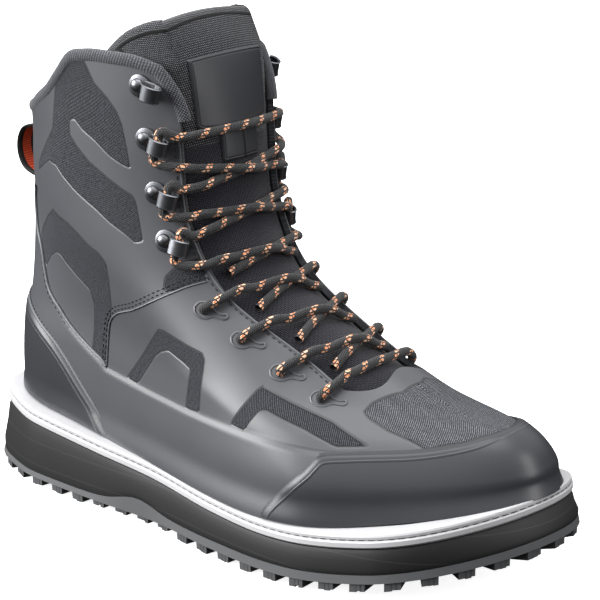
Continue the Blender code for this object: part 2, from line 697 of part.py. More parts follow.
def make_tongue(padding, plate_material):
    middle = np.linspace(-1.0, 1.0, 11)
    side = 1.0 + TONGUE_MARGIN * np.array([0.3, 0.65, 1.0])
    across = np.concatenate([-side[::-1], middle, side])[None, :]
    rows = np.array(TONGUE_ROWS)[:, None]
    bm = bmesh.new()
    face = moved_grid(bm, tongue_point(across, rows, np.zeros(rows.shape)))
    face_edges = [edge for edge in bm.edges if edge.is_boundary]
    moved_grid(bm, tongue_point(across, rows, tongue_thickness(rows)))
    back_edges = [edge for edge in bm.edges if edge.is_boundary and edge not in face_edges]
    bmesh.ops.bridge_loops(bm, edges=face_edges + back_edges)
    add_object("tongue", finish_mesh("tongue", bm, 0.6), padding)
    lines = np.array(PLATE_ROWS)[:, None]
    spread = np.array(PLATE_HALF)[:, None] * np.linspace(-1.0, 1.0, 15)[None, :]
    plate = tongue_point(spread, lines, np.full(lines.shape, -PLATE_GAP - PLATE_WALL))
    add_object("tongue_plate", shell_mesh("tongue_plate", plate, PLATE_WALL), plate_material)


def tube_mesh(name, points, radius):
    """A round cord through the points, closed at both ends."""
    curve = bpy.data.curves.new(name, "CURVE")
    curve.dimensions = "3D"
    spline = curve.splines.new("POLY")
    spline.points.add(len(points) - 1)
    for vertex, point in zip(spline.points, points):
        vertex.co = (*point, 1.0)
    curve.bevel_depth = radius
    curve.bevel_resolution = 1
    curve.use_fill_caps = True
    holder = bpy.data.objects.new(name, curve)
    mesh = bpy.data.meshes.new_from_object(holder)
    bpy.data.objects.remove(holder)
    bm = bmesh.new()
    bm.from_mesh(mesh)
    bmesh.ops.remove_doubles(bm, verts=bm.verts[:], dist=1e-6)
    bpy.data.meshes.remove(mesh)
    return finish_mesh(name, bm, 1.0)


def row_on_plane(across, rise, start, end, out):
    """Row at which the tongue's face, raised by rise, meets the plane through start and end along out."""
    side = np.cross(end - start, out)
    rows = np.linspace(TONGUE[0][0] + 0.1, TONGUE[-1][0] - 0.1, 90)
    off = (tongue_point(across, rows, np.full(rows.shape, -rise)) - start) @ side
    if off[0] > off[-1]:
        off = -off
    return float(np.interp(0.0, off, rows))


def throat_place(side, row, rise):
    """A point over the throat's edge. Side is -1 for the outer edge and 1 for the inner one."""
    angle = float(throat_angle(min(row, CORNER_ROW)))
    return upper_point(angle if side < 0 else 2.0 * math.pi - angle, row, -rise)


def strand(side, start_row, end_row, over, start_under, seat=0.0):
    """Points of a lace from the throat's edge on one side, straight over the tongue, to the other edge."""
    clear = LACE_DIAMETER / 2 + LACE_GAP
    start = throat_place(side, start_row, clear)
    end = throat_place(-side, end_row, clear)
    middle_row = (start_row + end_row) / 2
    out = surface_normal(tongue_skin, np.array(0.0), np.array(middle_row))
    points = []
    for across in (-0.82, -0.56, -0.28, 0.0, 0.28, 0.56, 0.86):
        step_up = smooth_step((abs(across) - 0.42) / 0.4)
        if start_under and across < 0.0:
            step_up = 0.0
        rise = clear + (WALL + TONGUE_GAP) * step_up + over * max(0.0, 1.0 - (across / 0.5) ** 2)
        rise += seat * (1.0 - step_up)
        row = row_on_plane(-side * across, rise, start, end, out)
        points.append(tongue_point(-side * across, row, np.array(-rise)))
    if not start_under:
        points.insert(0, start)
    return points + [end]


def eyelet_end(side, number):
    """Where a lace stops over an eyelet, counted from the top."""
    share, row = EYELETS[number]
    angle = share_angle(share)
    clear = LACE_DIAMETER / 2 + LACE_GAP
    return [upper_point(angle if side < 0 else 2.0 * math.pi - angle, row, -clear)]


def hook_end(side, number, direction):
    """Points of a lace from the middle of a hook's channel out of it. Direction is 1 at the top, -1 below."""
    share, row = HOOKS[number]
    frame = np.array(surface_frame(share, row, side > 0))
    turn = direction if side < 0 else -direction
    along, height = TAB_START * HOOK_PLATE / 2 + TAB_REACH * 0.45, HOOK_GAP + HOOK_SHEET + TAB_LIFT * 0.42
    outside = (TAB_WIDTH + LACE_DIAMETER) / 2 + 2 * LACE_GAP
    places = ((along, turn * 0.0005, height), (along, turn * outside, height))
    return [frame[:3, :3] @ np.array(place) + frame[:3, 3] for place in places]


def lace_between(low, high, side, over):
    """Lace from a fastening on one side to the next one up on the other. Fastenings: eyelets, then hooks."""
    low_row, high_row = LACE_ROWS[low], LACE_ROWS[high]
    eyelets = len(EYELETS)
    from_hook, to_hook = low >= eyelets, high >= eyelets
    start_row = low_row + (HOOK_ROWS if from_hook else 0.35 * (high_row - low_row))
    end_row = high_row - (HOOK_LOW_ROWS if to_hook else 0.0)
    points = strand(side, start_row, end_row, over, not from_hook)
    if from_hook:
        points = hook_end(side, len(LACE_ROWS) - 1 - low, 1) + points
    if to_hook:
        return points + hook_end(-side, len(LACE_ROWS) - 1 - high, -1)[::-1]
    return points + eyelet_end(-side, eyelets - 1 - high)


def make_laces(material):
    radius = LACE_DIAMETER / 2
    row = LACE_ROWS[0]
    bar = eyelet_end(-1, len(EYELETS) - 1) + strand(-1, row, row, 0.0, False) + eyelet_end(1, len(EYELETS) - 1)
    add_object("lace_1", tube_mesh("lace_1", bar, radius), material)
    last = len(LACE_ROWS) - 2
    for low in range(last):
        name = f"lace_{low + 2}"
        first = add_object(name, tube_mesh(name, lace_between(low, low + 1, -1, 0.0), radius), material)
        other_mesh = tube_mesh(name + " other", lace_between(low, low + 1, 1, 0.75 * LACE_DIAMETER), radius)
        other = add_object(name + " other", other_mesh, material, helper=True)
        join_solids(first, [other])
    row = LACE_ROWS[last]
    top = hook_end(-1, 1, 1) + strand(-1, row + HOOK_ROWS, row + HOOK_ROWS, 0.0, False, PLATE_GAP + PLATE_WALL)
    add_object(f"lace_{last + 2}", tube_mesh("lace top", top, radius), material)


def strip_sections(middle, thickness, width):
    """Sections of a flat strip whose middle line is given in X and Z. Its width is along Y."""
    run = np.gradient(middle, axis=0)
    run = run / np.linalg.norm(run, axis=1, keepdims=True)
    off = np.stack([-run[:, 1], run[:, 0]], axis=-1) * thickness / 2
    corners = ((-1.0, -1.0), (1.0, -1.0), (1.0, 1.0), (-1.0, 1.0))
    sections = []
    for place, away in zip(middle, off):
        spots = [(place + away * thick, width / 2 * side) for thick, side in corners]
        sections.append([(spot[0], across, spot[1]) for spot, across in spots])
    return sections


def hook_mesh(metal, mirrored):
    """A lace hook: riveted plate, dome and a tab that curls out and back over the lace."""
    bm = bmesh.new()
    half = HOOK_PLATE / 2
    outline = [(-0.95, -0.45), (-0.95, 0.45), (-0.5, 0.9), (0.1, 0.8)]
    outline += [(0.9, 0.6), (0.9, -0.6), (0.1, -0.8), (-0.5, -0.9)]
    floor = [bm.verts.new((half * x, half * y, HOOK_GAP)) for x, y in outline]
    base = bm.faces.new(floor)
    lift = bmesh.ops.extrude_face_region(bm, geom=[base])
    raised = [item for item in lift["geom"] if isinstance(item, bmesh.types.BMVert)]
    bmesh.ops.translate(bm, verts=raised, vec=(0.0, 0.0, HOOK_SHEET))
    plate = add_object("hook plate", finish_mesh("hook plate", bm), metal, helper=True)
    bm = bmesh.new()
    bmesh.ops.create_uvsphere(bm, u_segments=10, v_segments=6, radius=RIVET_DIAMETER / 2)
    squash = Matrix.Diagonal((1.0, 1.0, RIVET_HEIGHT / (RIVET_DIAMETER / 2), 1.0))
    place = Matrix.Translation((-0.25 * half, 0.0, HOOK_GAP + HOOK_SHEET * 0.8))
    bmesh.ops.transform(bm, matrix=place @ squash, verts=bm.verts[:])
    low = HOOK_GAP + HOOK_SHEET * 0.3
    whole = bm.verts[:] + bm.edges[:] + bm.faces[:]
    cut = bmesh.ops.bisect_plane(
        bm, geom=whole, plane_co=(0.0, 0.0, low), plane_no=(0.0, 0.0, -1.0), clear_outer=True
    )
    rim = [item for item in cut["geom_cut"] if isinstance(item, bmesh.types.BMEdge)]
    bmesh.ops.contextual_create(bm, geom=rim)
    dome = add_object("hook dome", finish_mesh("hook dome", bm), metal, helper=True)
    bm = bmesh.new()
    start = TAB_START * half
    centre = np.array([start + TAB_REACH * 0.45, HOOK_GAP + HOOK_SHEET + TAB_LIFT * 0.42])
    reach = np.array([TAB_REACH * 0.5, TAB_LIFT * 0.42])
    sheet = HOOK_SHEET * 1.25
    middle = [np.array([start - 0.001, HOOK_GAP + sheet / 2])]
    for turn in np.linspace(-0.5 * math.pi, 0.72 * math.pi, 9):
        middle.append(centre + reach * np.array([math.cos(turn), math.sin(turn)]))
    middle[1][1] = HOOK_GAP + sheet / 2
    middle = np.array(middle)
    loft(bm, strip_sections(middle, sheet, TAB_WIDTH))
    tab = add_object("hook tab", finish_mesh("hook tab", bm), metal, helper=True)
    join_solids(plate, [dome, tab])
    bpy.context.view_layer.update()
    graph = bpy.context.evaluated_depsgraph_get()
    joined = bpy.data.meshes.new_from_object(plate.evaluated_get(graph))
    for helper in (plate, dome, tab):
        bpy.data.objects.remove(helper)
    if mirrored:
        joined.transform(Matrix.Diagonal((1.0, -1.0, 1.0, 1.0)))
        joined.flip_normals()
    joined.name = "hook inner" if mirrored else "hook outer"
    return joined


def make_hooks(metal):
    for side, mirrored in (("lateral", False), ("medial", True)):
        mesh = hook_mesh(metal, mirrored)
        for number, (share, row) in enumerate(HOOKS, start=1):
            hook = bpy.data.objects.new(f"hook_{side}_{number}", mesh)
            bpy.context.scene.collection.objects.link(hook)
            hook.matrix_world = surface_frame(share, row, mirrored)


def make_pull_loop(webbing):
    """A strap folded into a loop behind the shaft, its two ends against the back seam."""
    seat = upper_point(0.0, LOOP_ROW)
    half = LOOP_HEIGHT / 2
    centre = [(0.0, -half), (0.35, -0.98 * half), (0.8, -0.75 * half), (1.0, -0.3 * half)]
    centre += [(1.0, 0.3 * half), (0.8, 0.75 * half), (0.35, 0.98 * half), (0.0, half)]
    middle = np.array([(-GAP - LOOP_SHEET * 0.2 - reach * LOOP_REACH, height) for reach, height in centre])
    low, high = upper_point(0.0, LOOP_ROW - 0.5), upper_point(0.0, LOOP_ROW + 0.5)
    slope = (high[0] - low[0]) / (high[2] - low[2])
    bm = bmesh.new()
    loft(bm, strip_sections(middle, LOOP_SHEET, LOOP_WIDTH))
    for vert in bm.verts:
        vert.co.x = seat[0] + min(vert.co.x, -GAP) + slope * vert.co.z
        vert.co.z += seat[2]
    add_object("pull_loop", finish_mesh("pull_loop", bm, 0.9), webbing)


def main():
    for existing in list(bpy.data.objects):
        bpy.data.objects.remove(existing)
    tread_rubber = make_material("tread rubber", (0.075, 0.078, 0.082), 0.7)
    foam = make_material("midsole foam", (0.018, 0.018, 0.019), 0.65)
    welt_material = make_material("welt", (0.82, 0.82, 0.82), 0.5)
    coated = make_material("coated textile", (0.085, 0.09, 0.097), 0.45)
    toe_rubber = make_material("toe and heel film", (0.06, 0.063, 0.068), 0.35)
    knit = make_material("padded knit", (0.035, 0.037, 0.042), 0.9)
    metal = make_material("gunmetal", (0.16, 0.17, 0.18), 0.35, 1.0)
    lace = make_material("lace", (0.02, 0.02, 0.022), 0.8)
    webbing = make_material("webbing", (0.03, 0.03, 0.03), 0.85)
    make_sole(tread_rubber, foam, welt_material)
    make_insole(knit)
    make_upper(coated)
    make_overlays(toe_rubber)
    make_binding(knit)
    make_tongue(knit, coated)
    make_laces(lace)
    make_hooks(metal)
    make_pull_loop(webbing)


main()
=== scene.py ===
"""Looks of the wading boot: fine skins, seams, textiles, laces and light over the boot's own frame."""

import math

import bmesh
import bpy
import numpy as np
from mathutils import Matrix, Vector


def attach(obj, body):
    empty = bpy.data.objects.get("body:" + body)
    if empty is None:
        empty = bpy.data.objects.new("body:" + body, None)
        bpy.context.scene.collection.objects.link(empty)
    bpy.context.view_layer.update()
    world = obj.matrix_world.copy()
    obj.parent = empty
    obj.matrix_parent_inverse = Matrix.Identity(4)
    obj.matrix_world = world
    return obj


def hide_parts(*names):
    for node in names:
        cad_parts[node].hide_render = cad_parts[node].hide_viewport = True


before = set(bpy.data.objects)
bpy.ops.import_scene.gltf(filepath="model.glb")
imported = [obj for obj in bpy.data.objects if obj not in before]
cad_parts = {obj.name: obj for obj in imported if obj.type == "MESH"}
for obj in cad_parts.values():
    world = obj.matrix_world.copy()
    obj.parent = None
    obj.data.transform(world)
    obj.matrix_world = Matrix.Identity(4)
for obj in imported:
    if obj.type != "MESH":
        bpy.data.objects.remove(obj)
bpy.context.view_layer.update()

# Main sizes of the boot
LENGTH = 0.318
BALL_WIDTH = 0.119
COLLAR_HEIGHT = 0.219
HEEL_CENTRE = 0.047

# Sole stack
LUG_HEIGHT = 0.0042
OUTSOLE_HEEL = 0.0066
OUTSOLE_BALL = 0.0080
SHANK_RISE = 0.0048
STACK_HEEL = 0.0326
STACK_BALL = 0.0193
TOE_SPRING = 0.0205
WELT_HEIGHT = 0.0070
WELT_WIDTH = 0.0130
WELT_BEAD = 0.0006
OUTSOLE_INSET = 0.0015
STACK_INSET = 0.0024
END_TUCK = 0.0038
HEEL_REACH = 0.19
TOE_REACH = 0.12
INSOLE_THICKNESS = 0.0070
LUG_PITCH = 0.0145
LUG_LENGTH = 0.0085
LUG_DEPTH = 0.0120
LUG_RELIEF = 0.0015
CENTRE_LUG = 0.0130
CENTRE_LUG_PITCH = 0.0205

# Upper, its overlays and the tongue
WALL = 0.0026
GAP = 0.0003
OVERLAY_GAP = 0.00085
OVERLAY_ROW = 0.06
EDGE_LIFT = 0.0004
SKIN_SHEET = 0.0005
TOE_CAP_WALL = 0.0012
COUNTER_WALL = 0.0011
BINDING_HEIGHT = 0.0046
BINDING_WIDTH = 0.0036
TONGUE_GAP = 0.0012
TONGUE_VAMP = 0.0045
TONGUE_TOP = 0.0095
PLATE_WALL = 0.0010
PLATE_GAP = 0.0005

# Lower edge of the skins: how far it swells out at the heel, how much more at the toe, and from which row
SWELL_HEEL = 0.0009
SWELL_TOE = 0.0026
SWELL_ROWS = 0.7

# Step of the film round the heel and above the welt, and how much thicker it gets lower down
RAND_RISE = 0.0003
RAND_LOW_RISE = 0.0006

# Laces and hardware
LACE_DIAMETER = 0.0042
LACE_GAP = 0.0007
HOOK_PLATE = 0.0124
HOOK_SHEET = 0.0009
HOOK_GAP = 0.0005
RIVET_DIAMETER = 0.0066
RIVET_HEIGHT = 0.0023
TAB_WIDTH = 0.0074
TAB_START = 0.45
TAB_REACH = 0.0095
TAB_LIFT = 0.0076
CHANNEL_ALONG = 0.45
CHANNEL_HEIGHT = 0.42

# Seams: half the thickness of each thread
FINE_THREAD = 0.00028
THROAT_THREAD = 0.0003
THICK_THREAD = 0.00042

# Pull loop
LOOP_WIDTH = 0.0125
LOOP_SHEET = 0.0017
LOOP_HEIGHT = 0.0250
LOOP_REACH = 0.0160
LOOP_ROW = 5.80

# Sole outline. Along: share of LENGTH. Outer, inner: half widths as shares of BALL_WIDTH.
SOLE_ALONG = (0.00, 0.08, 0.17, 0.30, 0.42, 0.55, 0.67, 0.78, 0.88, 1.00)
SOLE_OUTER = (0.39, 0.36, 0.390, 0.414, 0.424, 0.484, 0.519, 0.521, 0.512, 0.489)
SOLE_INNER = (0.37, 0.34, 0.315, 0.294, 0.311, 0.387, 0.458, 0.478, 0.440, 0.425)
SOLE_HEEL_ROUND = 0.157
SOLE_TOE_ROUND = 0.172
SOLE_SWING = 0.118
SPRING_START = 0.61

# The upper is a stack of rings, each from a point on the back seam to a point on the front ridge.
# Back and front: place along, as a share of LENGTH, and height, as a share of COLLAR_HEIGHT.
# Heel, waist, ball and toe: half widths at RING_ALONG, as shares of BALL_WIDTH.
# Nose and round: length of the rounded front and back end, as shares of the ring.
# Swing: how far the front end leans to the inner side, as a share of BALL_WIDTH.
# Throat: where the throat's edge lies, as a share of the ring.
RING_ALONG = (0.10, 0.35, 0.68, 0.88)
RINGS = (
    # back x, back z, front x, front z, heel, waist, ball, toe, nose, round, swing, throat
    (0.047, 0.183, 0.966, 0.215, 0.272, 0.328, 0.437, 0.378, 0.28, 0.15, 0.10, 0.930),
    (0.049, 0.265, 0.966, 0.260, 0.286, 0.336, 0.437, 0.387, 0.30, 0.15, 0.10, 0.920),
    (0.056, 0.356, 0.932, 0.312, 0.286, 0.328, 0.403, 0.345, 0.40, 0.15, 0.08, 0.905),
    (0.067, 0.447, 0.833, 0.347, 0.277, 0.319, 0.378, 0.336, 0.54, 0.17, 0.05, 0.880),
    (0.072, 0.539, 0.720, 0.416, 0.269, 0.328, 0.353, 0.319, 0.56, 0.20, 0.02, 0.866),
    (0.075, 0.630, 0.607, 0.502, 0.269, 0.336, 0.345, 0.319, 0.56, 0.24, 0.01, 0.812),
    (0.074, 0.721, 0.547, 0.626, 0.277, 0.336, 0.336, 0.319, 0.50, 0.28, 0.00, 0.797),
    (0.074, 0.781, 0.528, 0.767, 0.277, 0.336, 0.336, 0.319, 0.46, 0.30, 0.00, 0.805),
    (0.072, 0.826, 0.525, 0.932, 0.277, 0.336, 0.336, 0.319, 0.44, 0.30, 0.00, 0.800),
)
TOP_ROW = len(RINGS) - 1
WAIST_LEAN = 0.025
COLLAR_DROP = 0.0049

# Rise of the collar's edge above the straight line of the top ring, as a share of COLLAR_HEIGHT
COLLAR_ALONG = (0.00, 0.10, 0.20, 0.28, 0.34, 0.39, 0.45, 0.57, 0.66, 0.73, 0.85, 1.00)
COLLAR_RISE = (0.005, 0.012, 0.036, 0.058, 0.090, 0.119, 0.123, 0.114, 0.102, 0.082, 0.050, 0.027)
CORNER_ROW = 7.4
CORNER_SHARE = 0.07

# Throat: the row of its lower corners, and how much further forward its middle lies
THROAT_ROW = 3.32
THROAT_BOW = 0.48

# Overlays on the lower part of the upper, by angle round it and row up it
CAP_ANGLES = (1.88, 2.08)
CAP_TOP = (
    (2.03, 1.58), (2.10, 1.73), (2.20, 1.80), (2.42, 1.88),
    (2.70, 2.07), (2.94, 2.22), (3.15, 2.27),
)
COUNTER_ANGLES = (1.14, 1.04)
COUNTER_TOP = (
    (0.00, 2.60), (0.35, 2.48), (0.56, 2.32), (0.68, 2.15),
    (0.80, 1.87), (0.91, 1.42), (1.04, 0.74),
)

# Middle line of the tongue's face. Row: the row of the upper beside it.
# Along and height: as shares of LENGTH and COLLAR_HEIGHT.
# Lift and lean: how far its sides go on above the collar and backwards, in the same shares.
TONGUE = (
    # row, along, height, lift, lean
    (2.40, 0.830, 0.300, 0.000, 0.000),
    (3.00, 0.777, 0.337, 0.000, 0.000),
    (4.00, 0.657, 0.425, 0.000, 0.000),
    (5.00, 0.531, 0.525, 0.000, 0.000),
    (6.00, 0.472, 0.667, 0.000, 0.000),
    (7.00, 0.461, 0.804, 0.000, 0.000),
    (8.00, 0.437, 0.985, 0.032, 0.006),
    (9.00, 0.393, 1.080, 0.118, 0.034),
)
TONGUE_MARGIN = 0.22
TONGUE_FLARE = 1.35
PLATE_ROWS = (6.80, 7.20, 7.26, 7.64, 8.06)
PLATE_HALF = (0.42, 0.42, 0.80, 0.82, 0.84)
# Slit in the plate: how far to the inner side it lies, in mm, and the row where it ends
SLIT_ACROSS = 1.0
SLIT_TOP_ROW = 7.27

# Hooks and eyelets: share along the ring, and row, on each side of the throat, from the top down
HOOKS = ((0.685, 7.76), (0.700, 7.06), (0.712, 6.31), (0.708, 5.60))
EYELETS = ((0.715, 4.53), (0.751, 4.06), (0.780, 3.51), (0.815, 3.06))
# Rows at which the laces cross the throat's edges, from the bottom up: four eyelets, then four hooks
LACE_ROWS = (3.42, 3.92, 4.44, 4.92, 5.60, 6.30, 7.04, 7.76)
HOOK_ROWS = 0.22
HOOK_LOW_ROWS = 0.20

# Floor and surroundings. The sky's strength goes up with its height, from a little below the horizon.
FLOOR_REACH = 12.0
FLOOR_GLOW = 0.85
SKY_RISE = (-0.08, 0.75)
SKY_STRENGTH = (0.03, 1.25)
LAMPS = (
    # name, place, aim, size, watts
    ("overhead light", (0.25, -0.15, 1.25), (0.12, 0.0, 0.1), (1.1, 0.8), 9.0),
    ("toe side light", (1.5, 0.35, 0.55), (0.2, 0.0, 0.08), (0.35, 0.9), 6.0),
    ("heel side light", (-1.15, -1.35, 0.8), (0.0, 0.0, 0.1), (1.4, 1.2), 76.0),
)

# Camera: degrees round from the outer side and up, metres to the point it looks at, and mm of lens and sensor
CAMERA_AZIMUTH = 39.772
CAMERA_ELEVATION = 16.930
CAMERA_DISTANCE = 1.07367
CAMERA_AIM = (0.13447, 0.0, 0.10852)
CAMERA_LENS = 142.39
CAMERA_SENSOR = 36.0

# Settings of the nodes for a smooth change of a value, and for a mix of two colours
SMOOTH = {"interpolation_type": "SMOOTHSTEP"}
COLOURS = {"data_type": "RGBA", "out": 2}
PATCH_TONES = (0.92, 1.08)


def smooth_step(share):
    """0 to 1 with level ends."""
    share = np.clip(share, 0.0, 1.0)
    return share * share * (3.0 - 2.0 * share)


def round_end(distance, length):
    """How an outline closes at its end: 0 at the tip and 1 from the length on, as a quarter ellipse."""
    return np.sqrt(np.clip(1.0 - np.clip(1.0 - distance / length, 0.0, 1.0) ** 2, 0.0, 1.0))


def smooth_table(stations, values, at):
    """Values at the stations joined by a smooth curve. The last axis of values runs along the stations."""
    stations = np.asarray(stations, float)
    values = np.asarray(values, float)
    at = np.asarray(at, float)
    slopes = np.gradient(values, stations, axis=-1)
    left = np.clip(np.searchsorted(stations, at) - 1, 0, len(stations) - 2)
    width = stations[left + 1] - stations[left]
    share = np.clip((at - stations[left]) / width, 0.0, 1.0)

    def pick(array, index):
        if array.ndim == 1:
            return array[index]
        return np.take_along_axis(array, index[..., None], axis=-1)[..., 0]

    start, end = pick(values, left), pick(values, left + 1)
    leave, arrive = pick(slopes, left) * width, pick(slopes, left + 1) * width
    return (
        (2 * share**3 - 3 * share**2 + 1) * start
        + (share**3 - 2 * share**2 + share) * leave
        + (-2 * share**3 + 3 * share**2) * end
        + (share**3 - share**2) * arrive
    )


def ring_values(row):
    """The columns of RINGS at any row, on a smooth curve through the table's rows."""
    table = np.array(RINGS)
    row = np.clip(np.asarray(row, float), 0.0, TOP_ROW)
    below = np.minimum(row.astype(int), TOP_ROW - 1)
    share = (row - below)[..., None]
    one, two = table[below], table[below + 1]
    before = np.where((below > 0)[..., None], table[np.maximum(below - 1, 0)], 2 * one - two)
    after = np.where((below < TOP_ROW - 1)[..., None], table[np.minimum(below + 2, TOP_ROW)], 2 * two - one)
    bend = 2 * before - 5 * one + 4 * two - after + share * (3 * (one - two) + after - before)
    return one + 0.5 * share * (two - before + share * bend)


def toe_spring(along):
    """How far the sole's underside is off the floor, at a distance from the back of the heel."""
    start = SPRING_START * LENGTH
    return TOE_SPRING * np.clip((along - start) / (LENGTH - start), 0.0, None) ** 2


def heel_to_ball(along, heel, ball):
    """A height that changes from the heel's to the ball's."""
    return heel + (ball - heel) * smooth_step((along / LENGTH - 0.19) / 0.47)


def outsole_top(along):
    bump = SHANK_RISE * np.exp(-(((along / LENGTH - 0.385) / 0.050) ** 2))
    return heel_to_ball(along, OUTSOLE_HEEL, OUTSOLE_BALL) + bump + toe_spring(along)


def stack_top(along):
    return STACK_HEEL + (STACK_BALL - STACK_HEEL) * smooth_step(along / LENGTH / 0.68) + toe_spring(along)


def upper_skin(angle, row):
    """A point of the upper's outer face. Angle 0 is the back seam, pi the front ridge, by the outer side."""
    angle, row = np.broadcast_arrays(np.asarray(angle, float), np.asarray(row, float))
    ring = ring_values(row)
    back_x, back_z, front_x, front_z = (ring[..., k] for k in range(4))
    widths = ring[..., 4:8]
    nose, back_round, swing = (ring[..., k] for k in (8, 9, 10))
    share = (1.0 - np.cos(angle)) / 2.0
    side = np.where(np.sin(angle) >= 0.0, -1.0, 1.0)
    stations = (0.0,) + RING_ALONG + (1.0,)
    widths = np.concatenate([widths[..., :1], widths, widths[..., 3:]], axis=-1)
    half = BALL_WIDTH * smooth_table(stations, widths, share)
    half = half * round_end(share, back_round) * round_end(1.0 - share, nose)
    along = LENGTH * (back_x + share * (front_x - back_x))
    height = COLLAR_HEIGHT * (back_z + share * (front_z - back_z))
    foot = RINGS[0]
    foot_along = LENGTH * (foot[0] + share * (foot[2] - foot[0]))
    foot_line = COLLAR_HEIGHT * (foot[1] + share * (foot[3] - foot[1]))
    up = np.clip(row, 0.0, TOP_ROW) / TOP_ROW
    height = height + (stack_top(foot_along) + WELT_HEIGHT + GAP - foot_line) * (1.0 - up) ** 3
    collar = COLLAR_HEIGHT * smooth_table(COLLAR_ALONG, COLLAR_RISE, share)
    shaft = np.clip(2.0 * up - 1.0, 0.0, 1.0)
    height = height + collar * shaft**2 - COLLAR_DROP * shaft**6
    middle = BALL_WIDTH * swing * smooth_step((share - 0.70) / 0.30)
    middle = middle - BALL_WIDTH * WAIST_LEAN * np.sin(math.pi * np.clip(share / 0.8, 0.0, 1.0)) * (1.0 - up)
    return np.stack([along - HEEL_CENTRE, middle + side * half, height], axis=-1)


def surface_normal(surface, first, second):
    """Unit normal of a surface given by a function of two numbers, from small steps along each."""
    step = 1e-3
    across = surface(first + step, second) - surface(first - step, second)
    up = surface(first, second + step) - surface(first, second - step)
    normal = np.cross(across, up)
    return normal / np.linalg.norm(normal, axis=-1, keepdims=True)


def upper_point(angle, row, depth=0.0):
    """A point of the upper at a depth under its outer face, or above it where the depth is negative."""
    angle, row = np.broadcast_arrays(np.asarray(angle, float), np.asarray(row, float))
    inside = np.clip(row, 1e-3, TOP_ROW - 1e-3)
    inwards = np.asarray(depth, float)[..., None] * surface_normal(upper_skin, angle, inside)
    return upper_skin(angle, row) - inwards


def throat_angle(row):
    """Angle of the throat's edge on the outer side. Its top corner is rounded off."""
    row = np.asarray(row, float)
    corner = CORNER_SHARE * np.clip((row - CORNER_ROW) / (TOP_ROW - CORNER_ROW), 0.0, 1.0) ** 2
    share = ring_values(row)[..., 11] - corner
    return np.arccos(1.0 - 2.0 * share)


def throat_row(angle):
    """Row of the throat's lower edge: level outside its corners and bowed towards the toe between them."""
    corner = throat_angle(THROAT_ROW)
    return THROAT_ROW + THROAT_BOW * smooth_step((angle - corner) / (math.pi - corner))


def share_angle(share):
    return math.acos(1.0 - 2.0 * share)


def sole_outline(inset, count):
    """Points round the sole, from the back of the heel by the outer side, moved inwards by the inset."""

    def outline(angle):
        share = (1.0 - np.cos(angle)) / 2.0
        outer_side = np.sin(angle) >= 0.0
        outer = smooth_table(SOLE_ALONG, SOLE_OUTER, share)
        inner = smooth_table(SOLE_ALONG, SOLE_INNER, share)
        half = np.where(outer_side, -outer, inner) * BALL_WIDTH
        half = half * round_end(share, SOLE_HEEL_ROUND) * round_end(1.0 - share, SOLE_TOE_ROUND)
        middle = SOLE_SWING * BALL_WIDTH * smooth_step((share - 0.70) / 0.30)
        return np.stack([LENGTH * share, middle + half], axis=-1)

    angles = 2.0 * math.pi * np.arange(count) / count
    step = 1e-3
    tangent = outline(angles + step) - outline(angles - step)
    tangent = tangent / np.linalg.norm(tangent, axis=-1, keepdims=True)
    inwards = np.stack([-tangent[:, 1], tangent[:, 0]], axis=-1)
    return outline(angles) + inset * inwards


def surface_frame(share, row, mirrored):
    """Matrix of a fitting on the upper: X towards the throat, Y up along the wall, Z out of it."""
    angle = share_angle(share)
    if mirrored:
        angle = 2.0 * math.pi - angle
    place = upper_point(angle, row)
    out = surface_normal(upper_skin, np.array(angle), np.array(float(row)))
    forward = upper_skin(angle + (-1e-3 if mirrored else 1e-3), row) - place
    forward = forward - out * np.dot(forward, out)
    forward = forward / np.linalg.norm(forward)
    up = np.cross(out, forward)
    return Matrix([[forward[k], up[k], out[k], place[k]] for k in range(3)] + [[0.0, 0.0, 0.0, 1.0]])


def arch_relief(along):
    """The blocks under the arch stop a little above the floor."""
    share = along / LENGTH
    return LUG_RELIEF if 0.30 < share < 0.47 else 0.0


def outline_walk(plan, pitch):
    """Even places along a closed outline: point and heading."""
    closed = np.vstack([plan, plan[:1]])
    legs = np.linalg.norm(np.diff(closed, axis=0), axis=1)
    distance = np.concatenate([[0.0], np.cumsum(legs)])
    count = int(distance[-1] / pitch)
    for k in range(count):
        at = (k + 0.5) * distance[-1] / count
        leg = int(np.searchsorted(distance, at)) - 1
        share = (at - distance[leg]) / legs[leg]
        step = closed[leg + 1] - closed[leg]
        yield closed[leg] + share * step, math.atan2(step[1], step[0])


def tongue_skin(across, row):
    """A point of the tongue's front face. Across is -1 at the throat's outer edge and 1 at its inner edge."""
    across, row = np.broadcast_arrays(np.asarray(across, float), np.asarray(row, float))
    table = np.array(TONGUE)
    along, height, lift, lean = (smooth_table(table[:, 0], table[:, k], row) for k in range(1, 5))
    on_upper = np.clip(row, 0.0, TOP_ROW)
    beyond = np.clip(np.abs(across) - 1.0, 0.0, None)
    wider = 1.0 + TONGUE_FLARE * smooth_step((row - 6.5) / 2.0)
    angle = throat_angle(np.minimum(on_upper, CORNER_ROW)) - beyond * wider
    side = np.where(across < 0.0, angle, 2.0 * math.pi - angle)
    edge = upper_point(side, on_upper, WALL + TONGUE_GAP)
    lift = lift * (1.0 - 0.95 * (beyond / TONGUE_MARGIN) ** 1.5)
    edge = edge + np.stack([-lean * LENGTH, np.zeros_like(lean), lift * COLLAR_HEIGHT], axis=-1)
    middle = np.stack([along * LENGTH - HEEL_CENTRE, np.zeros_like(along), height * COLLAR_HEIGHT], axis=-1)
    inside = np.clip(np.abs(across), 0.0, 1.0)
    bend = (inside**2)[..., None]
    point = middle + (edge - middle) * bend
    point[..., 1] = edge[..., 1] * inside
    return point


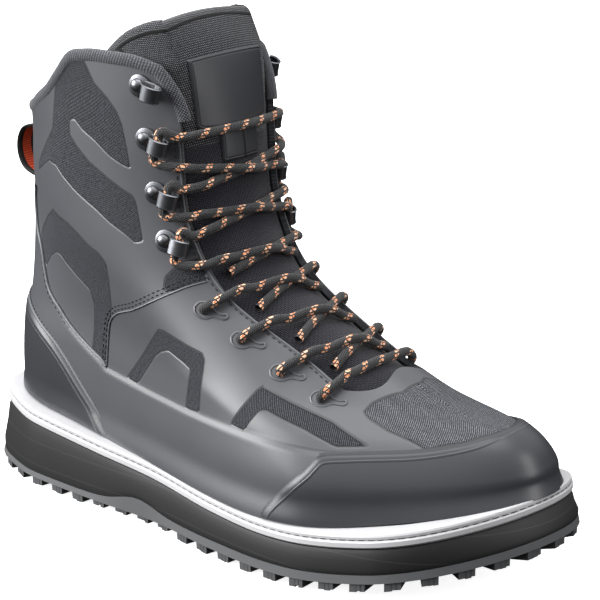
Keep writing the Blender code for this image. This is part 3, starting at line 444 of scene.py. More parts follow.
def tongue_point(across, row, depth):
    across, row = np.broadcast_arrays(np.asarray(across, float), np.asarray(row, float))
    lowest, highest = TONGUE[0][0], TONGUE[-1][0]
    normal = surface_normal(tongue_skin, across, np.clip(row, lowest + 1e-3, highest - 1e-3))
    return tongue_skin(across, row) - np.asarray(depth)[..., None] * normal


def tongue_thickness(row):
    return TONGUE_VAMP + (TONGUE_TOP - TONGUE_VAMP) * smooth_step((np.asarray(row, float) - 4.0) / 4.0)


def row_on_plane(across, rise, start, end, out):
    """Row at which the tongue's face, raised by rise, meets the plane through start and end along out."""
    side = np.cross(end - start, out)
    rows = np.linspace(TONGUE[0][0] + 0.1, TONGUE[-1][0] - 0.1, 90)
    off = (tongue_point(across, rows, np.full(rows.shape, -rise)) - start) @ side
    if off[0] > off[-1]:
        off = -off
    return float(np.interp(0.0, off, rows))


def throat_place(side, row, rise):
    """A point over the throat's edge. Side is -1 for the outer edge and 1 for the inner one."""
    angle = float(throat_angle(min(row, CORNER_ROW)))
    return upper_point(angle if side < 0 else 2.0 * math.pi - angle, row, -rise)


def strand(side, start_row, end_row, over, start_under, seat=0.0):
    """Points of a lace from the throat's edge on one side, straight over the tongue, to the other edge."""
    clear = LACE_DIAMETER / 2 + LACE_GAP
    start = throat_place(side, start_row, clear)
    end = throat_place(-side, end_row, clear)
    middle_row = (start_row + end_row) / 2
    out = surface_normal(tongue_skin, np.array(0.0), np.array(middle_row))
    points = []
    for across in (-0.82, -0.56, -0.28, 0.0, 0.28, 0.56, 0.86):
        step_up = smooth_step((abs(across) - 0.42) / 0.4)
        if start_under and across < 0.0:
            step_up = 0.0
        rise = clear + (WALL + TONGUE_GAP) * step_up + over * max(0.0, 1.0 - (across / 0.5) ** 2)
        rise += seat * (1.0 - step_up)
        row = row_on_plane(-side * across, rise, start, end, out)
        points.append(tongue_point(-side * across, row, np.array(-rise)))
    if not start_under:
        points.insert(0, start)
    return points + [end]


def eyelet_end(side, number):
    """Where a lace stops over an eyelet, counted from the top."""
    share, row = EYELETS[number]
    angle = share_angle(share)
    clear = LACE_DIAMETER / 2 + LACE_GAP
    return [upper_point(angle if side < 0 else 2.0 * math.pi - angle, row, -clear)]


def hook_channel():
    """Middle of the channel under a hook's tab: how far from the plate's middle, and how high."""
    along = TAB_START * HOOK_PLATE / 2 + TAB_REACH * CHANNEL_ALONG
    return along, HOOK_GAP + HOOK_SHEET + TAB_LIFT * CHANNEL_HEIGHT


def hook_end(side, number, direction):
    """Points of a lace from the middle of a hook's channel out of it. Direction is 1 at the top, -1 below."""
    share, row = HOOKS[number]
    seat = np.array(surface_frame(share, row, side > 0))
    turn = direction if side < 0 else -direction
    along, height = hook_channel()
    outside = (TAB_WIDTH + LACE_DIAMETER) / 2 + 2 * LACE_GAP
    places = ((along, turn * 0.0005, height), (along, turn * outside, height))
    return [seat[:3, :3] @ np.array(place) + seat[:3, 3] for place in places]


def lace_between(low, high, side, over):
    """Lace from a fastening on one side to the next one up on the other. Fastenings: eyelets, then hooks."""
    low_row, high_row = LACE_ROWS[low], LACE_ROWS[high]
    eyelets = len(EYELETS)
    from_hook, to_hook = low >= eyelets, high >= eyelets
    start_row = low_row + (HOOK_ROWS if from_hook else 0.35 * (high_row - low_row))
    end_row = high_row - (HOOK_LOW_ROWS if to_hook else 0.0)
    points = strand(side, start_row, end_row, over, not from_hook)
    if from_hook:
        points = hook_end(side, len(LACE_ROWS) - 1 - low, 1) + points
    if to_hook:
        return points + hook_end(-side, len(LACE_ROWS) - 1 - high, -1)[::-1]
    return points + eyelet_end(-side, eyelets - 1 - high)


def lug_block(bm, centre, heading, length, depth, relief):
    """One tread block. Its foot follows the toe spring and its top goes into the outsole's plate."""
    made = bmesh.ops.create_cube(bm, size=1.0)
    forward = np.array([math.cos(heading), math.sin(heading)])
    across = np.array([-forward[1], forward[0]])
    for vert in made["verts"]:
        x, y = centre + vert.co.x * length * forward + vert.co.y * depth * across
        height = LUG_HEIGHT + 0.0008 if vert.co.z > 0.0 else relief
        vert.co = (x - HEEL_CENTRE, y, toe_spring(x) + height)


def linear(code):
    """A hex colour as linear light."""
    values = [int(code[k : k + 2], 16) / 255.0 for k in (0, 2, 4)]
    return tuple(v / 12.92 if v <= 0.04045 else ((v + 0.055) / 1.055) ** 2.4 for v in values) + (1.0,)


def add_node(tree, kind, *inputs, out=0, **settings):
    """A shader node with its settings. Its inputs come in order, or by number as _6. Returns one output."""
    node = tree.nodes.new("ShaderNode" + kind)
    given = dict(enumerate(inputs))
    for key, value in settings.items():
        if key.startswith("_"):
            given[int(key[1:])] = value
        else:
            setattr(node, key, value)
    for number, value in given.items():
        socket = node.inputs[number]
        if isinstance(value, bpy.types.NodeSocket):
            tree.links.new(value, socket)
        else:
            socket.default_value = value
    return node.outputs[out]


def cloth_place(tree):
    """Place on a piece in mm, along and up it."""
    along = add_node(tree, "Attribute", out=2, attribute_name="along")
    up = add_node(tree, "Attribute", out=2, attribute_name="up")
    return add_node(tree, "CombineXYZ", along, up)


def set_relief(tree, shader, relief):
    """The relief of a surface in mm."""
    bump = add_node(tree, "Bump", 1.0, 0.001, _3=relief)
    tree.links.new(bump, shader.inputs["Normal"])


def new_material(name, colour, roughness, metallic=0.0, grain=0.05, scale=900.0):
    """A procedural material with faint patches and a fine grain, given in mm of relief."""
    material = bpy.data.materials.new(name)
    material.use_nodes = True
    tree = material.node_tree
    shader = tree.nodes["Principled BSDF"]
    place = add_node(tree, "TexCoord", out=3)
    patches = add_node(tree, "TexNoise", place, _2=60.0, _3=3.0)
    tone = linear(colour)[:3]
    dark, light = (tuple(share * value for value in tone) + (1.0,) for share in PATCH_TONES)
    base = add_node(tree, "Mix", patches, _6=dark, _7=light, **COLOURS)
    fine = add_node(tree, "TexNoise", place, _2=scale, _3=2.0)
    relief = add_node(tree, "Math", fine, grain, operation="MULTIPLY")
    tree.links.new(base, shader.inputs["Base Color"])
    set_relief(tree, shader, relief)
    shader.inputs["Roughness"].default_value = roughness
    shader.inputs["Metallic"].default_value = metallic
    return material, tree, shader, base, relief


def woven(tree, place, length, width, yarn, speck):
    """A tight weave of short floats, staggered from row to row: colour and height. Some floats are lighter.

    Length and width are a float's size in mm.
    """
    waves = []
    for axis, pitch in ((0, length), (1, width)):
        at = add_node(tree, "SeparateXYZ", place, out=axis)
        turn = add_node(tree, "Math", at, 2.0 * math.pi / pitch, operation="MULTIPLY")
        waves.append(add_node(tree, "Math", turn, operation="SINE"))
    crossed = add_node(tree, "Math", *waves, operation="MULTIPLY")
    height = add_node(tree, "MapRange", crossed, -1.0, 1.0, **SMOOTH)
    uneven = add_node(tree, "TexNoise", place, _2=0.9, _3=1.0)
    raised = add_node(tree, "MapRange", height, 0.45, 0.95, **SMOOTH)
    picked = add_node(tree, "MapRange", uneven, 0.3, 0.6, 0.45, 1.0, **SMOOTH)
    light = add_node(tree, "Math", raised, picked, operation="MULTIPLY")
    return add_node(tree, "Mix", light, _6=linear(yarn), _7=linear(speck), **COLOURS), height


def upper_look():
    """Polyurethane film over woven polyester: smooth satin film, and a dull weave with light yarns."""
    material, tree, shader, base, grain = new_material("film and weave", "4a4b4f", 0.42, 0.0, 0.015, 700.0)
    textile = add_node(tree, "Attribute", out=2, attribute_name="textile")
    place = cloth_place(tree)
    turned = add_node(tree, "Mapping", place, _2=(0.0, 0.0, 0.6))
    weave, height = woven(tree, turned, 1.35, 1.05, "1d1e22", "65666c")
    toe = add_node(tree, "Attribute", out=2, attribute_name="toe")
    over_toes = add_node(tree, "MapRange", toe, -0.3, 0.3, **SMOOTH)
    mesh, _ = woven(tree, turned, 1.3, 1.2, "2c2d31", "8a8b91")
    fabric = add_node(tree, "Mix", over_toes, _6=weave, _7=mesh, **COLOURS)
    inside = add_node(tree, "MapRange", textile, -0.12, 0.22, **SMOOTH)
    colour = add_node(tree, "Mix", inside, _6=base, _7=fabric, **COLOURS)
    rand = add_node(tree, "Attribute", out=2, attribute_name="rand")
    borders = ((textile, 0.25, 0.65, 0.45, "131315"), (rand, 0.2, 0.9, 0.5, "1a1a1c"))
    for distance, near, far, strength, dark in borders:
        away = add_node(tree, "Math", distance, operation="ABSOLUTE")
        border = add_node(tree, "MapRange", away, near, far, strength, 0.0, **SMOOTH)
        colour = add_node(tree, "Mix", border, _6=colour, _7=linear(dark), **COLOURS)
    tree.links.new(colour, shader.inputs["Base Color"])
    film = add_node(tree, "MapRange", textile, -0.9, 0.1, 0.25, 0.0, **SMOOTH)
    cloth = add_node(tree, "Math", height, inside, operation="MULTIPLY")
    cloth = add_node(tree, "Math", cloth, 0.16, operation="MULTIPLY")
    relief = add_node(tree, "Math", film, cloth, operation="ADD")
    set_relief(tree, shader, add_node(tree, "Math", relief, grain, operation="ADD"))
    for socket, on_film, on_cloth in (("Roughness", 0.40, 0.85), ("Specular IOR Level", 0.5, 0.15)):
        value = add_node(tree, "MapRange", inside, 0.0, 1.0, on_film, on_cloth, **SMOOTH)
        tree.links.new(value, shader.inputs[socket])
    return material


def skin_look():
    """Thick satin film of the toe cap and heel counter, with a band along its edge, a painted highlight on
    the line 5 mm in, and painted shade along the very edge.
    """
    material, tree, shader, base, grain = new_material("moulded film", "323337", 0.36, 0.0, 0.012, 500.0)
    edge = add_node(tree, "Attribute", out=2, attribute_name="edge")
    away = add_node(tree, "Math", edge, 5.0, operation="SUBTRACT")
    away = add_node(tree, "Math", away, operation="ABSOLUTE")
    line = add_node(tree, "MapRange", away, 0.15, 0.7, 1.0, 0.0, **SMOOTH)
    # Painted highlight: a faint light grey line on the moulded line 5 mm in from the edge, over its real bead
    # of relief.
    faint = add_node(tree, "Math", line, 0.15, operation="MULTIPLY")
    colour = add_node(tree, "Mix", faint, _6=base, _7=linear("9a9ca0"), **COLOURS)
    # Painted shade: the outer 0.1 to 0.7 mm of the skin is darkened where its edge steps down onto the upper.
    rim = add_node(tree, "MapRange", edge, 0.1, 0.7, 0.8, 0.0, **SMOOTH)
    colour = add_node(tree, "Mix", rim, _6=colour, _7=linear("0e0e10"), **COLOURS)
    tree.links.new(colour, shader.inputs["Base Color"])
    band = add_node(tree, "MapRange", edge, 4.4, 5.4, 0.35, 0.0, **SMOOTH)
    bead = add_node(tree, "Math", line, 0.2, operation="MULTIPLY")
    relief = add_node(tree, "Math", band, bead, operation="ADD")
    set_relief(tree, shader, add_node(tree, "Math", relief, grain, operation="ADD"))
    return material


def plate_look():
    """Smooth satin film with a pressed line near its border and a short slit at the bottom."""
    material, tree, shader, base, _ = new_material("satin plate film", "303135", 0.42, 0.0, 0.01)
    edge = add_node(tree, "Attribute", out=2, attribute_name="edge")
    slit = add_node(tree, "Attribute", out=2, attribute_name="slit")
    away = add_node(tree, "Math", edge, 1.6, operation="SUBTRACT")
    away = add_node(tree, "Math", away, operation="ABSOLUTE")
    line = add_node(tree, "MapRange", away, 0.1, 0.5, 1.0, 0.0, **SMOOTH)
    cut = add_node(tree, "MapRange", slit, 0.3, 0.7, 1.0, 0.0, **SMOOTH)
    faint = add_node(tree, "Math", line, 0.4, operation="MULTIPLY")
    dark = add_node(tree, "Math", faint, cut, operation="MAXIMUM")
    colour = add_node(tree, "Mix", dark, _6=base, _7=linear("060607"), **COLOURS)
    tree.links.new(colour, shader.inputs["Base Color"])
    pressed = add_node(tree, "Math", line, cut, operation="MAXIMUM")
    set_relief(tree, shader, add_node(tree, "Math", pressed, -0.3, operation="MULTIPLY"))
    return material


def knit_look(name, dark, light, pitch):
    """Dull polyester knit in fine ribs with lighter loops."""
    material, tree, shader, _, grain = new_material(name, dark, 0.92, 0.0, 0.02, 900.0)
    loops, height = woven(tree, cloth_place(tree), pitch * 1.5, pitch * 1.5, dark, light)
    tree.links.new(loops, shader.inputs["Base Color"])
    relief = add_node(tree, "Math", height, 0.22, operation="MULTIPLY")
    set_relief(tree, shader, add_node(tree, "Math", relief, grain, operation="ADD"))
    shader.inputs["Sheen Weight"].default_value = 0.25
    shader.inputs["Specular IOR Level"].default_value = 0.15
    return material


def tongue_look():
    """Spacer mesh with light dots above, a dull ribbed weave lower down, and a dark piping at the edge."""
    material, tree, shader, _, grain = new_material("tongue mesh", "26272b", 0.9, 0.0, 0.02, 900.0)
    place = cloth_place(tree)
    turned = add_node(tree, "Mapping", place, _2=(0.0, 0.0, 0.78))
    dots, heights = woven(tree, turned, 1.45, 1.45, "0b0c0e", "6c6d72")
    ribs, _ = woven(tree, turned, 3.2, 1.1, "1b1b20", "3d3d46")
    row = add_node(tree, "Attribute", out=2, attribute_name="row")
    high = add_node(tree, "MapRange", row, 7.05, 7.08, **SMOOTH)
    colour = add_node(tree, "Mix", high, _6=ribs, _7=dots, **COLOURS)
    edge = add_node(tree, "Attribute", out=2, attribute_name="edge")
    away = add_node(tree, "Math", edge, 5.0, operation="SUBTRACT")
    away = add_node(tree, "Math", away, operation="ABSOLUTE")
    rim = add_node(tree, "MapRange", away, 0.4, 1.2, 1.0, 0.0, **SMOOTH)
    colour = add_node(tree, "Mix", rim, _6=colour, _7=linear("0d0d0f"), **COLOURS)
    tree.links.new(colour, shader.inputs["Base Color"])
    cloth = add_node(tree, "Math", heights, 0.2, operation="MULTIPLY")
    piping = add_node(tree, "Math", rim, 0.8, operation="MULTIPLY")
    relief = add_node(tree, "Math", cloth, piping, operation="ADD")
    set_relief(tree, shader, add_node(tree, "Math", relief, grain, operation="ADD"))
    shader.inputs["Sheen Weight"].default_value = 0.2
    shader.inputs["Specular IOR Level"].default_value = 0.2
    return material


def lace_look():
    """Black polyester braid with groups of orange and pale flecks that run slantwise round it."""
    material, tree, shader, _, _ = new_material("braided lace", "17181a", 0.75, 0.0, 0.02, 900.0)
    along = add_node(tree, "Attribute", out=2, attribute_name="along")
    around = add_node(tree, "Attribute", out=2, attribute_name="up")
    place = add_node(tree, "CombineXYZ", along, around)
    turned = add_node(tree, "Mapping", place, _2=(0.0, 0.0, 0.7))
    braid, height = woven(tree, turned, 1.8, 0.9, "060607", "48494c")
    slant = add_node(tree, "Math", around, 0.9, operation="MULTIPLY")
    slant = add_node(tree, "Math", along, slant, operation="ADD")
    crossed = add_node(tree, "Math", around, 0.5, operation="MULTIPLY")
    crossed = add_node(tree, "Math", along, crossed, operation="SUBTRACT")
    marks = []
    for way, half_pitch, width in ((slant, 5.8, 1.6), (crossed, 1.3, 0.95), (around, 0.95, 0.6)):
        mark = add_node(tree, "Math", way, half_pitch, operation="PINGPONG")
        marks.append(add_node(tree, "Math", mark, width, operation="LESS_THAN"))
    fleck = add_node(tree, "Math", marks[0], marks[1], operation="MULTIPLY")
    fleck = add_node(tree, "Math", fleck, marks[2], operation="MULTIPLY")
    pick = add_node(tree, "TexNoise", place, _2=0.8, _3=0.0)
    pick = add_node(tree, "MapRange", pick, 0.35, 0.65, **SMOOTH)
    orange = add_node(tree, "Mix", pick, _6=linear("f5935a"), _7=linear("fbd2b0"), **COLOURS)
    colour = add_node(tree, "Mix", fleck, _6=braid, _7=orange, **COLOURS)
    tree.links.new(colour, shader.inputs["Base Color"])
    set_relief(tree, shader, add_node(tree, "Math", height, 0.3, operation="MULTIPLY"))
    shader.inputs["Sheen Weight"].default_value = 0.15
    return material


def webbing_look():
    """Black nylon webbing with an orange band woven along its middle."""
    material, tree, shader, base, grain = new_material("webbing", "141414", 0.8, 0.0, 0.03, 900.0)
    place = add_node(tree, "TexCoord", out=3)
    across = add_node(tree, "SeparateXYZ", place, out=1)
    up = add_node(tree, "SeparateXYZ", place, out=2)
    off = add_node(tree, "Math", across, operation="ABSOLUTE")
    band = add_node(tree, "MapRange", off, 0.0026, 0.0030, 1.0, 0.0, **SMOOTH)
    ribs = add_node(tree, "Math", up, 6000.0, operation="MULTIPLY")
    ribs = add_node(tree, "Math", ribs, operation="SINE")
    raised = add_node(tree, "MapRange", ribs, -1.0, 1.0, **SMOOTH)
    bright = add_node(tree, "Mix", raised, _6=linear("b8381c"), _7=linear("ee5a2c"), **COLOURS)
    colour = add_node(tree, "Mix", band, _6=base, _7=bright, **COLOURS)
    tree.links.new(colour, shader.inputs["Base Color"])
    relief = add_node(tree, "Math", ribs, 0.05, operation="MULTIPLY")
    set_relief(tree, shader, add_node(tree, "Math", relief, grain, operation="ADD"))
    return material


def foam_look():
    """Black moulded foam, matt, with faint lines along it."""
    material, tree, shader, base, _ = new_material("midsole foam", "0c0c0d", 0.6, 0.0, 0.04, 1500.0)
    place = add_node(tree, "TexCoord", out=3)
    up = add_node(tree, "SeparateXYZ", place, out=2)
    lines = add_node(tree, "Math", up, 0.0055, operation="PINGPONG")
    lines = add_node(tree, "Math", lines, 0.00018, operation="LESS_THAN")
    faint = add_node(tree, "Math", lines, 0.25, operation="MULTIPLY")
    colour = add_node(tree, "Mix", faint, _6=base, _7=linear("48484b"), **COLOURS)
    tree.links.new(colour, shader.inputs["Base Color"])
    return material


def welt_look():
    """White rubber strip, a little glossy."""
    return new_material("white welt rubber", "bababc", 0.38, 0.0, 0.01, 700.0)[0]


def metal_look():
    """Gunmetal plate: dark, half dull metal with a soft grain."""
    return new_material("gunmetal", "76787c", 0.36, 1.0, 0.01, 1500.0)[0]


def piece(name, bm, materials, nodes=(), smooth=0.6):
    """A finished piece of the boot: it rides the boot's body and takes the place of the named solids."""
    bmesh.ops.recalc_face_normals(bm, faces=bm.faces[:])
    mesh = bpy.data.meshes.new(name)
    bm.to_mesh(mesh)
    bm.free()
    mesh.shade_smooth()
    mesh.set_sharp_from_angle(angle=smooth)
    for material in materials:
        mesh.materials.append(material)
    made = bpy.data.objects.new(name, mesh)
    bpy.context.scene.collection.objects.link(made)
    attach(made, "root")
    if nodes:
        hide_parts(*nodes)
    return made


def moved_grid(bm, points, layers=None):
    """A grid of faces whose vertices are moved to the points, with numbers per vertex in named layers."""
    rows, columns = points.shape[:2]
    for name in layers or ():
        if not bm.verts.layers.float.get(name):
            bm.verts.layers.float.new(name)
    made = bmesh.ops.create_grid(bm, x_segments=columns - 1, y_segments=rows - 1, size=0.5)
    verts = made["verts"]
    for vert, point in zip(verts, points.reshape(-1, 3)):
        vert.co = point
    for name, values in (layers or {}).items():
        layer = bm.verts.layers.float[name]
        for vert, value in zip(verts, np.broadcast_to(values, (rows, columns)).ravel()):
            vert[layer] = value
    return verts


def closed_ring(bm, points):
    """The edges of a ring through the points."""
    verts = [bm.verts.new(point) for point in points]
    return [bm.edges.new((one, two)) for one, two in zip(verts, verts[1:] + verts[:1])]


def slab(bm, rings):
    """A solid between its lowest and highest ring."""
    levels = [closed_ring(bm, ring) for ring in rings]
    for low, high in zip(levels, levels[1:]):
        bmesh.ops.bridge_loops(bm, edges=low + high)
    for level in (levels[0], levels[-1]):
        half = len(level) // 2
        bmesh.ops.contextual_create(bm, geom=level)
        ends = [edge.verts[0] for edge in level]
        for k in range(1, half):
            bmesh.ops.connect_verts(bm, verts=[ends[k], ends[-k]])


def arc_mm(points, axis):
    """Running length in mm along an axis of a grid of points."""
    legs = np.linalg.norm(np.diff(points, axis=axis), axis=2) * 1000.0
    start = np.zeros_like(np.take(legs, [0], axis=axis))
    return np.concatenate([start, np.cumsum(legs, axis=axis)], axis=axis)


def line_distance(points, line, closed=False):
    """Distance of each point to a line through corners, in any number of dimensions."""
    line = np.asarray(line, float)
    if closed:
        line = np.vstack([line, line[:1]])
    best = np.full(points.shape[:-1], np.inf)
    for one, two in zip(line[:-1], line[1:]):
        run = two - one
        share = np.clip(((points - one) @ run) / max(run @ run, 1e-12), 0.0, 1.0)
        best = np.minimum(best, np.linalg.norm(points - one - share[..., None] * run, axis=-1))
    return best


def signed_inside(points, outline):
    """Distance to a closed outline: positive inside it."""
    outline = np.asarray(outline, float)
    inside = np.zeros(points.shape[:-1], bool)
    for (x1, y1), (x2, y2) in zip(outline, np.roll(outline, -1, axis=0)):
        if y1 == y2:
            continue
        crosses = (y1 > points[..., 1]) != (y2 > points[..., 1])
        inside ^= crosses & (points[..., 0] < (x2 - x1) * (points[..., 1] - y1) / (y2 - y1) + x1)
    distance = line_distance(points, outline, True)
    return np.where(inside, distance, -distance)


# Panels of the upper in side view: distance from the back of the heel and height, in mm
SHAFT_TEXTILE = (
    (71, 224), (84, 224), (87, 215), (91, 209), (95, 203), (102, 198), (108, 192), (111, 186), (113, 178),
    (115, 167), (111, 168), (104, 171), (95, 177), (87, 181), (82, 185), (80, 185), (78, 183), (78, 177),
    (83, 172), (91, 166), (101, 161), (111, 156), (116, 154), (118, 151), (120, 143), (122, 134), (118, 133),
    (113, 136), (104, 140), (95, 145), (86, 149), (80, 152), (72, 157), (67, 161), (61, 162), (47, 154),
    (48, 158), (56, 167), (65, 177), (66, 184), (68, 197), (72, 207),
)
ANKLE_TEXTILE = (
    (62, 138), (66, 136), (74, 134), (81, 131), (90, 126), (96, 124), (101, 120), (102, 112), (102, 100),
    (100, 93), (97, 74), (95, 71), (87, 75), (88, 85), (89, 97), (87, 104), (77, 109), (70, 113), (64, 117),
    (61, 117), (56, 114), (51, 108), (47, 112), (45, 121), (47, 125), (55, 133),
)
WAIST_TEXTILE = (
    (112, 67), (134, 95), (137, 95), (151, 91), (160, 89), (162, 86), (162, 73), (162, 63), (153, 63),
    (155, 81), (151, 83), (140, 87), (135, 85), (131, 82), (119, 66),
)
BALL_TEXTILE = (
    (183, 63), (191, 78), (193, 80), (195, 79), (208, 75), (228, 70), (239, 66), (247, 63), (235, 62),
    (219, 67), (206, 70), (198, 72), (196, 71), (191, 62),
)
INSTEP_TEXTILE = ((149, 129), (140, 125), (135, 119), (135, 114), (138, 113), (147, 117), (153, 119))
# The mesh over the toes in plan: distance from the back of the heel, and across, in mm
TOE_TEXTILE = (
    (245, 10), (247, 5), (246, -7), (238, -19), (237, -23), (240, -24), (251, -24), (264, -22), (270, -21),
    (274, -17), (282, -10), (288, 0), (291, 11), (288, 22), (282, 32), (274, 39), (270, 43), (264, 44),
    (251, 46), (240, 46), (237, 45), (238, 41), (246, 29), (247, 17),
)
PIPING = (
    (41, 144), (39, 139), (41, 124), (46, 116), (50, 105), (54, 97),
    (61, 91), (71, 83), (84, 76), (95, 71), (97, 69),
)
RAND_LINE = ((97, 69), (112, 67), (128, 65), (153, 63), (182, 62), (210, 61), (228, 60))
VAMP_SEAM = ((97, 68), (101, 93), (119, 102), (134, 110), (145, 116), (153, 119))
# The raised line round an eyelet, on the skin: towards the throat and upwards from the hole, in mm
EYELET_LINE = (
    (-5.2, 0.2), (-3.8, 2.6), (-0.6, 3.6), (2.6, 2.8), (4.6, 0.9), (8.2, 0.1), (10.6, 0.5), (11.2, -1.0),
    (10.0, -1.9), (7.0, -1.9), (4.4, -2.2), (2.2, -3.5), (-1.0, -3.8), (-4.2, -2.3), (-5.2, 0.2),
)


def feather(angle, row):
    """How far the skins swell out over the welt towards their lower edge: most at the toe."""
    swell = SWELL_HEEL + SWELL_TOE * (1.0 - np.cos(angle)) / 2.0
    return swell * smooth_step(1.0 - row / SWELL_ROWS)


def make_upper(look, lining):
    """The wall of the upper, with its throat cut out, and its distances to the borders of the panels."""
    half_columns, front = 150, 22
    low = 2.2
    lines = np.concatenate([
        np.linspace(0, low, 34),
        np.linspace(low, THROAT_ROW, 20)[1:],
        np.linspace(THROAT_ROW, TOP_ROW, 66)[1:],
    ])
    rows, angles = [], []
    for line in lines:
        edge = float(throat_angle(line))
        half = np.concatenate([
            edge * np.arange(half_columns) / half_columns,
            edge + (math.pi - edge) * np.arange(front + 1) / front,
        ])
        lifted = np.full(len(half), line)
        if low < line <= THROAT_ROW:
            lifted = low + (line - low) * (throat_row(half) - low) / (THROAT_ROW - low)
        angles.append(np.concatenate([half, 2.0 * math.pi - half[-2::-1]]))
        rows.append(np.concatenate([lifted, lifted[-2::-1]]))
    angles, rows = np.array(angles), np.array(rows)
    points = upper_point(angles, rows)
    side = np.stack([points[..., 0] + HEEL_CENTRE, points[..., 2]], axis=-1) * 1000.0
    rand = signed_inside(side, PIPING + RAND_LINE[1:] + ((330, 60), (330, 10), (10, 10), (10, 144)))
    rise = RAND_RISE + RAND_LOW_RISE * smooth_step((92.0 - side[..., 1]) / 20.0)
    raised = rise * smooth_step(rand / 2.6)
    points = upper_point(angles, rows, -raised - feather(angles, rows))
    side = np.stack([points[..., 0] + HEEL_CENTRE, points[..., 2]], axis=-1) * 1000.0
    plan = np.stack([points[..., 0] + HEEL_CENTRE, points[..., 1]], axis=-1) * 1000.0
    textile = np.full(side.shape[:2], -1e3)
    for outline in (SHAFT_TEXTILE, ANKLE_TEXTILE, WAIST_TEXTILE, BALL_TEXTILE, INSTEP_TEXTILE):
        textile = np.maximum(textile, signed_inside(side, outline))
    toe = signed_inside(plan, TOE_TEXTILE)
    textile = np.maximum(textile, toe)
    along = arc_mm(points, 1)
    along = np.minimum(along, along[:, -1:] - along)
    layers = {"textile": textile, "toe": toe, "along": along, "up": arc_mm(points, 0), "rand": rand}
    bm = bmesh.new()
    verts = moved_grid(bm, points, layers)
    columns = points.shape[1]
    bottom = int(np.searchsorted(lines, THROAT_ROW - 1e-6))
    across = range(half_columns, half_columns + 2 * front + 1)
    throat = {verts[i * columns + j] for i in range(bottom, len(lines)) for j in across}
    cut = [face for face in bm.faces if all(vert in throat for vert in face.verts)]
    bmesh.ops.delete(bm, geom=cut, context="FACES")
    bmesh.ops.remove_doubles(bm, verts=bm.verts[:], dist=1e-7)
    bmesh.ops.recalc_face_normals(bm, faces=bm.faces[:])
    bm.normal_update()
    outer = set(bm.faces)
    bmesh.ops.solidify(bm, geom=bm.faces[:], thickness=WALL)
    for face in bm.faces:
        face.material_index = 0 if face in outer else 1
    made = piece("upper_shell", bm, [look, lining], ("upper", "rand_lateral", "rand_medial"))
    return made


def cap_sides(up):
    """Angles of the toe cap's two ends, at a share of its height."""
    edge = CAP_ANGLES[0] + (CAP_ANGLES[1] - CAP_ANGLES[0]) * up**1.6
    return edge, 2.0 * math.pi - edge


def counter_sides(up):
    """Angles of the heel counter's two ends, at a share of its height."""
    edge = COUNTER_ANGLES[0] + (COUNTER_ANGLES[1] - COUNTER_ANGLES[0]) * up
    return -edge, edge


def cap_top(angle):
    at, row = zip(*CAP_TOP)
    return smooth_table(at, row, np.where(angle > math.pi, 2.0 * math.pi - angle, angle))


def counter_top(angle):
    at, row = zip(*COUNTER_TOP)
    return smooth_table(at, row, angle)


def make_overlay(name, node, look, edges, top, wall, columns, rows):
    """A skin over the upper whose border is drawn in towards it, with the distance to that border."""
    share = np.linspace(0.0, 1.0, columns + 1)[None, :]
    up = np.linspace(0.0, 1.0, rows + 1)[:, None]
    start, end = edges(up)
    angles = start + (end - start) * share
    lines = OVERLAY_ROW + (top(np.abs(angles)) - OVERLAY_ROW) * up
    flat = upper_point(angles, lines) * 1000.0
    border = np.vstack([flat[:, 0], flat[-1], flat[::-1, -1]])
    edge = line_distance(flat, border[::2])
    lift = EDGE_LIFT + (OVERLAY_GAP + wall - EDGE_LIFT) * smooth_step(edge / 3.0)
    points = upper_point(angles, lines, -lift - feather(angles, lines))
    layers = {"edge": edge, "along": arc_mm(points, 1), "up": arc_mm(points, 0)}
    bm = bmesh.new()
    moved_grid(bm, points, layers)
    bm.normal_update()
    bmesh.ops.recalc_face_normals(bm, faces=bm.faces[:])
    bmesh.ops.solidify(bm, geom=bm.faces[:], thickness=SKIN_SHEET)
    made = piece(name, bm, [look], (node,))
    return made


def sole_ring_fine(inset, height, tuck=1.0, count=360):
    """A closed ring on the sole's side, drawn in at its two ends by the share tuck."""
    plan = sole_outline(inset, count)
    drawn = sole_outline(inset + END_TUCK, count)
    along = plan[:, 0] / LENGTH
    heel, toe = 1.0 - along / HEEL_REACH, 1.0 - (1.0 - along) / TOE_REACH
    plan = plan + (drawn - plan) * tuck * np.clip(np.maximum(heel, toe), 0.0, 1.0)[:, None] ** 1.5
    return np.stack([plan[:, 0] - HEEL_CENTRE, plan[:, 1], height(plan[:, 0])], axis=-1)


